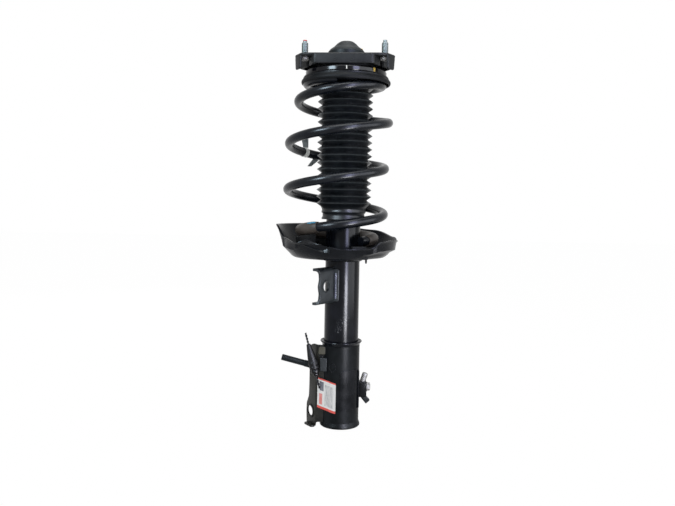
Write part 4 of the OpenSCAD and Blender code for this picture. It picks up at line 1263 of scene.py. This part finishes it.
def make_link_bracket():
    low, high = cad_size("link_bracket")
    height = high.z - low.z
    tip, edge = 68.6, 65.2
    half, lip = height / 2, 8.5
    outline = [(21, -half - lip, 0), (tip, -half - lip, 2), (tip + 0.2, -half + 1, 4),
        (edge + 0.4, -half + 7, 7), (edge - 0.6, -half + 15, 10), (edge + 2.2, 0, 12),
        (edge - 0.6, half - 15, 10), (edge + 0.4, half - 7, 7), (tip + 0.2, half - 1, 4),
        (tip, half + lip, 2), (21, half + lip, 0)]
    sheet = flat_plate("sheet", outline, 3.8, Matrix(), link_paint, 0.7, steps=6,
        holes=[circle(7.5, LINK_HOLE, 0)])
    quarter = Matrix.Rotation(radians(90), 4, "Z")
    for turn in (quarter, quarter @ quarter @ quarter):
        sheet.data.transform(turn)
        fold(sheet, half - 5.0, 4.5, -88)
        sheet.data.transform(turn.inverted())
    flip = place_at((0, 0, low.z + half), polar(1, LINK_ANGLE), polar(1, LINK_ANGLE + 90))
    flip.translation += polar(4.0, LINK_ANGLE + 90)
    set_place(sheet, flip)
    rim = lathe("rim", [(7.6, 0.2), (9.4, 0.2), (9.6, 0.9, 0.5), (8.6, 1.4, 0.5), (7.6, 1.3, 0.3)],
        link_paint, segments=48)
    middle = polar(LINK_HOLE, LINK_ANGLE, low.z + half)
    stand(rim, middle + polar(5.6, LINK_ANGLE + 90), (0, 0, 1), polar(1, LINK_ANGLE + 90))
    saddle = flat_plate("saddle", [(-2, -half + 1, 2), (10.5, -half + 1, 3), (10.5, half - 1, 3),
        (-2, half - 1, 2)], 3.4, Matrix(), link_paint, 1.0)
    wrap(saddle, TUBE_R + 1.9, LINK_ANGLE + 4, low.z + half)
    bracket = join([sheet, rim, saddle], "link_bracket_sheet")
    dress(bracket, "strut_tube", "link_bracket")
    root = [polar(TUBE_R + 3.0, LINK_ANGLE + 15.5, low.z + 6.5 + 4 * i) for i in range(10)]
    # The beads' pale blue colour is a painted highlight on the weld ripples
    beads = weld("link_bracket_beads", root, 1.9, weld_paint, 2.6, seed=8)
    dress(beads, "strut_tube", "link_bracket_weld")


FIN_CORNER = Vector((-35, -11, 0))
FIN_ANGLE, WEB_ANGLE = 122, -8


def make_locating_bracket():
    """One folded sheet: the web meets the sleeve and the fin carries the ear."""
    low, high = cad_size("locating_bracket")
    foot, top = low.z, high.z
    web = 17.0
    turn = 180 - (FIN_ANGLE - WEB_ANGLE)
    radius = 3.2
    bend = radius * radians(turn)
    # Flat pattern: x runs from the sleeve along the web, round the bend, along the fin
    fin = web + bend
    outline = [(0, foot + 9, 1), (web + 2, foot + 8, 6), (fin + 1, foot + 0.2, 3),
        (fin + 25, foot + 0.2, 2), (fin + 25.6, foot + 9, 5), (fin + 26.2, 19, 8), (fin + 25.6, 30, 9),
        (fin + 19.4, 42, 10), (fin + 18.6, 60, 10), (fin + 18.6, top - 4, 7), (fin + 8, top - 0.2, 8),
        (web - 5, top - 0.2, 8), (0, top - 5, 2)]
    hole = circle(8, fin + 15.2, 20)
    window = rounded([(fin + 1.6, 80, 2), (fin + 15.6, 80, 2), (fin + 15.6, 105, 2),
        (fin + 1.6, 105, 2)])
    sheet = flat_plate("sheet", outline, 2.9, Matrix(), bracket_paint, 0.6, steps=6,
        holes=[hole, window])
    fold(sheet, web, radius, turn, steps=10)
    upright = Matrix(((1, 0, 0, 0), (0, 0, -1, 0), (0, 1, 0, 0), (0, 0, 0, 1)))
    sheet.data.transform(upright)
    stand(sheet, FIN_CORNER + polar(web, WEB_ANGLE), -polar(1, WEB_ANGLE), (0, 0, 1))
    lip = flat_plate("lip", [(2, 0, 1), (25, 0, 1), (24, 7.5, 4), (3, 6.5, 3)], 2.8, Matrix(),
        bracket_paint, 0.6)
    stand(lip, FIN_CORNER + polar(2.4, FIN_ANGLE + 90, low.z + 1.5), polar(1, FIN_ANGLE), (0, 0, 1))
    eye = lathe("eye", [(8.05, 0), (9.8, 0), (10.2, 0.8, 0.5), (8.8, 1.2, 0.4), (8.05, 1.1, 0.2)],
        bracket_paint, segments=48)
    stand(eye, FIN_CORNER + polar(15.2, FIN_ANGLE, 20) + polar(3.0, FIN_ANGLE + 90), (0, 0, 1),
        polar(1, FIN_ANGLE + 90))
    # A thin lighter plate on the web's top: a painted highlight where the web's face is lit
    panel = flat_plate("panel", [(-6, -6, 1.5), (5, -6, 1.5), (5, 5, 2), (-5, 6, 3)], 0.8,
        place_at(FIN_CORNER + polar(3.2, WEB_ANGLE - 90) + polar(7, WEB_ANGLE, high.z - 8),
        polar(1, WEB_ANGLE), polar(1, WEB_ANGLE - 90)), panel_paint, 0.3)
    bracket = join([sheet, lip, eye, panel], "locating_bracket_sheet")
    dress(bracket, "strut_tube", "locating_bracket")


GROMMET_LEAN, GROMMET_LIFT = 15.3, 6.5


def grommet_place():
    """The line of the grommet, from the middle of the CAD's grommet."""
    along = Vector((-sin(radians(GROMMET_LEAN)), 0, cos(radians(GROMMET_LEAN))))
    return cad_middle("harness_grommet") + along * GROMMET_LIFT, along


def make_harness():
    middle, along = grommet_place()
    half = 25.2
    boot = [(0, -half), (2.2, -half, 0.3), (4.6, -half + 1.4, 0.8), (4.4, -half + 4, 0.6),
        (6.4, -half + 5.6, 0.8), (6.4, -half + 9.2, 0.8), (5.6, -half + 10.4, 0.5),
        (7.6, -half + 11.8, 0.8), (7.6, -half + 15.4, 0.8), (6.5, -half + 16.8, 0.5),
        (7.7, -half + 18, 0.8), (7.7, -half + 21.4, 0.8), (7.0, -half + 23.6, 1), (6.2, 6, 6),
        (4.5, 16, 4), (3.1, half - 0.8, 0.6), (2.0, half, 0.4), (0, half)]
    boot = lathe("boot", boot, grommet_rubber, segments=64)
    stand(boot, middle, (0, 1, 0), along)
    key = flat_plate("key", [(-2.6, -4, 1), (2.6, -4, 1), (2.2, 4.5, 1.4), (-2.2, 4.5, 1.4)], 2.0,
        Matrix(), grommet_rubber, 0.6)
    stand(key, middle - along * 9 + Vector((1.2, -7.0, 0)), (1, 0.12, 0.2), (0.1, -1, 0.1))
    grommet = join([boot, key], "harness_grommet_boot", 45)
    dress(grommet, "strut_tube", "harness_grommet")
    parts = []
    side, front = along.cross(Vector((0, 1, 0))).normalized(), Vector((0, 1, 0))
    for start, end in ((-half - 19.6, -half + 1), (half - 1, half + 16.8)):
        for strand in range(2):
            points = []
            for i in range(61):
                run = start + (end - start) * i / 60
                angle = 2 * pi * (run / 9.5 + strand / 2)
                points.append(middle + along * run + 0.82 * (cos(angle) * side + sin(angle) * front))
            parts.append(sweep("strand", points, 0.9, grommet_rubber, sides=16))
    cable = join(parts, "harness_cable_pair", 45)
    dress(cable, "strut_tube", "harness_cable")


def make_arm():
    rise_angle = radians(14)
    along = Vector((-cos(rise_angle), 0, sin(rise_angle)))
    start = Vector((-27, -3, 87.1))
    arm = rod("rod", start, start + along * 66.5, 4.7, cap_rubber, tip=1.3)
    cover = rod("cover", start + along * 4, start + along * 30, 5.1, cap_rubber, tip=0.8)
    arm = join([arm, cover], "hose_arm_rod")
    dress(arm, "strut_tube", "hose_arm")


KEY_LIFT, CLIP_LIFT = 5, 4


def make_sleeve_plates():
    low, high = cad_size("key_plate")
    height = high.z - low.z
    key = flat_plate("key", [(0, 0, 3), (32, 0, 2), (33.5, 8, 3), (33.5, height - 6, 3),
        (31, height, 2), (3, height - 1, 3), (0, height - 5, 3)], 1.5, Matrix(), black_paint, 0.5)
    wrap(key, SLEEVE_R + 0.8, 268, low.z + KEY_LIFT)
    hook = flat_plate("hook", [(0, 0, 1), (3.4, 1.5, 1.5), (3.4, height - 3, 1.5), (0, height, 1)],
        1.6, Matrix(), black_paint, 0.6)
    stand(hook, polar(SLEEVE_R + 0.5, 331, low.z + KEY_LIFT), polar(1, 331), polar(1, 241))
    plate = join([key, hook], "key_plate_sheet")
    dress(plate, "strut_tube", "key_plate")
    low, high = cad_size("clip_block")
    tall = high.z - low.z
    middle = (low + high) / 2 + Vector((0, 0, CLIP_LIFT))
    face = polar(1, WEB_ANGLE - 90)
    block = flat_plate("block", [(-5.2, -tall / 2, 1), (5.2, -tall / 2, 1), (5.2, tall / 2, 1),
        (-5.2, tall / 2, 1)], 5.6, place_at(middle + polar(0.2, WEB_ANGLE), polar(1, WEB_ANGLE), face),
        link_paint, 0.8)
    notch = flat_plate("notch", [(-7, 0, 0.5), (-1, 0, 0.5), (-1.5, 3.6, 1.2), (-6, 3.6, 1.2)], 3,
        place_at(middle + Vector((0, 0, tall / 2 - 0.4)) - face * 1.2, polar(1, WEB_ANGLE), face),
        black_paint, 0.5)
    clip = join([block, notch], "clip_block_body")
    dress(clip, "strut_tube", "clip_block")
    boss = weld("boss_ring", [polar(SLEEVE_R + 0.05, 244 + 11 * cos(a), 93 + 6.2 * sin(a))
        for a in (2 * pi * i / 40 for i in range(41))], 0.5, black_paint, 0.5, seed=5)
    dress(boss, "strut_tube")


LABEL_LIFT, LABEL_HEIGHT, LABEL_SLOPE = 12.5, 46, 0.19


def make_label():
    """A paper strip that leaves the bracket's web and bends round the sleeve."""
    low = cad_size("label")[0]
    corner = FIN_CORNER + polar(3.4, WEB_ANGLE - 90) + polar(0.6, WEB_ANGLE)
    path = [corner + polar(0.7 * i, WEB_ANGLE) for i in range(3)]
    path += [polar(SLEEVE_R + 0.25, a) for a in (231 + 25.5 * i / 24 for i in range(25))]
    smooth = []
    for i in range(len(path) - 1):
        steps = max(1, round((path[i + 1] - path[i]).length / 0.7))
        smooth += [path[i].lerp(path[i + 1], k / steps) for k in range(steps)]
    smooth.append(path[-1])
    rows = 25
    lengths = [0.0]
    for i in range(1, len(smooth)):
        lengths.append(lengths[-1] + (smooth[i] - smooth[i - 1]).length)
    points = []
    for i, place in enumerate(smooth):
        for j in range(rows):
            share = j / (rows - 1)
            inset = 0.9 * (1 - min(1, min(i, len(smooth) - 1 - i) / 2)) ** 2
            z = (low.z + LABEL_LIFT + inset + (LABEL_HEIGHT - 2 * inset) * share - LABEL_SLOPE
                * lengths[i])
            points.append((place.x, place.y, z))
    faces = [face[::-1] for face in sheet_faces(len(smooth), rows)]
    label = add_piece("paper_label", points, faces, label_paper)
    layer = label.data.uv_layers.new(name="paper")
    for corner in label.data.loops:
        i, j = divmod(corner.vertex_index, rows)
        layer.data[corner.index].uv = (lengths[i] / lengths[-1], j / (rows - 1))
    label = bake(thicken(label, 0.22, 1))
    sharpen(label, 40)
    dress(label, "strut_tube", "label")


def make_hose_bracket():
    low, high = cad_size("hose_bracket")
    x = high.x
    strap = flat_plate("strap", [(0, 0, 1), (12.4, 0, 3), (12.4, 21, 3), (0, 23, 1)], 2.4, Matrix(),
        black_paint, 0.6)
    stand(strap, (28.2, -6.6, low.z + 0.5), (1, 0, 0), (0, -1, 0))
    side = flat_plate("side", [(-7, 0, 3), (6.5, 0, 3), (6.5, 21.5, 3), (-7, 21.5, 3)], 2.4, Matrix(),
        black_paint, 0.6)
    stand(side, (x - 1.3, 0, low.z + 0.5), (0, 1, 0), (1, 0, 0))
    shelf = flat_plate("shelf", [(28.4, -7.6, 1), (x - 0.4, -7.6, 3), (x - 0.4, 7, 3), (28.4, 7, 1)],
        2.4, Matrix.Translation((0, 0, high.z - 1.4)), black_paint, 0.6)
    strap = join([strap, side, shelf], "hose_bracket_strap")
    dress(strap, "strut_tube", "hose_bracket")
    middle = cad_middle("hose_bracket_bolt")
    bolt = lathe("bolt", [(0, 0), (7.4, 0, 0.3), (7.4, 1.3, 0.4), (6.3, 1.6), (6.3, 5.0, 0.8),
        (3.8, 5.8, 0.5), (0, 5.8)], pale_zinc, segments=6 * 8)
    for vertex in bolt.data.vertices:
        height = vertex.co.z / MM
        if 1.5 < height < 5.4:
            a = atan2(vertex.co.y, vertex.co.x) % radians(60) - radians(30)
            vertex.co.xy = vertex.co.xy * (0.87 / cos(a))
    face = cad_size("hose_bracket_bolt")[0].x
    stand(bolt, (face, middle.y, middle.z), (0, 0, 1), (1, 0, 0))
    dress(bolt, "strut_tube", "hose_bracket_bolt")
    middle = cad_middle("hose_bracket_stud")
    foot = cad_size("hose_bracket_stud")[0].z
    pin_foot = Vector((middle.x - 1.5, middle.y, foot - 1))
    pin = rod("hose_bracket_pin", pin_foot, pin_foot + Vector((4.4, 0, 13.4)), 4.4, pale_zinc, tip=3.4)
    dress(pin, "strut_tube", "hose_bracket_stud")
    tab = flat_plate("hose_bracket_tab", [(-8.5, -3.6, 1.5), (7.5, -4.2, 1.2), (7.5, 4.2, 1.2),
        (-8.5, 3.6, 1.5)], 6.5, place_at(cad_middle("hose_bracket_plug") + Vector((1.8, 0, 1.0)),
        (0.66, 0, -0.75), (0, -1, 0)), cap_rubber, 0.9)
    dress(tab, "strut_tube", "hose_bracket_plug")


# ---- Bearing ----

def make_bearing():
    ball_low, ball_high = cad_size("bearing_balls")
    radius = (ball_high.z - ball_low.z) / 2
    middle = (ball_high.z + ball_low.z) / 2
    ring = ball_high.x - radius
    ball = lathe("bearing_ball_row", [(radius * cos(a), radius * sin(a)) for a in (pi * (i / 16 - 0.5)
        for i in range(17))], bearing_steel, segments=24)
    shift(ball, (ring, 0, middle))
    grow(ball, "ring", count=36, material=bearing_steel)
    ball.data.shade_smooth()
    dress(ball, "ball_cage", "bearing_balls")


FINISH_OF_NODE = {"base_cap": black_paint, "pressure_tube": bare_steel, "base_valve": bare_steel,
    "rod_guide": bare_steel, "rod_seal": seat_rubber, "tube_cap": zinc, "piston_rod": rod_chrome,
    "piston": bare_steel, "piston_band": seat_rubber, "piston_nut": zinc, "rebound_stop": seat_rubber,
    "bump_stop": bump_foam, "rod_washer": zinc, "rod_nut": zinc, "mount_core": bare_steel,
    "bearing_lower_race": race_plastic, "bearing_cage": race_plastic}


def finish_nodes():
    """The CAD's own solids that stay in the scene get their finish."""
    for node, material in FINISH_OF_NODE.items():
        for piece in bpy.context.scene.objects:
            if piece.type == "MESH" and piece.name == node:
                for slot in piece.material_slots:
                    slot.material = material


make_spring()
make_end_sleeve()
make_marks()
make_pad()
make_tag()
make_tubes()
make_dish()
make_boot()
make_upper_seat()
make_cover()
make_mount()
make_studs()
make_cap()
make_link_bracket()
make_locating_bracket()
make_harness()
make_arm()
make_sleeve_plates()
make_label()
make_hose_bracket()
make_bearing()
finish_nodes()
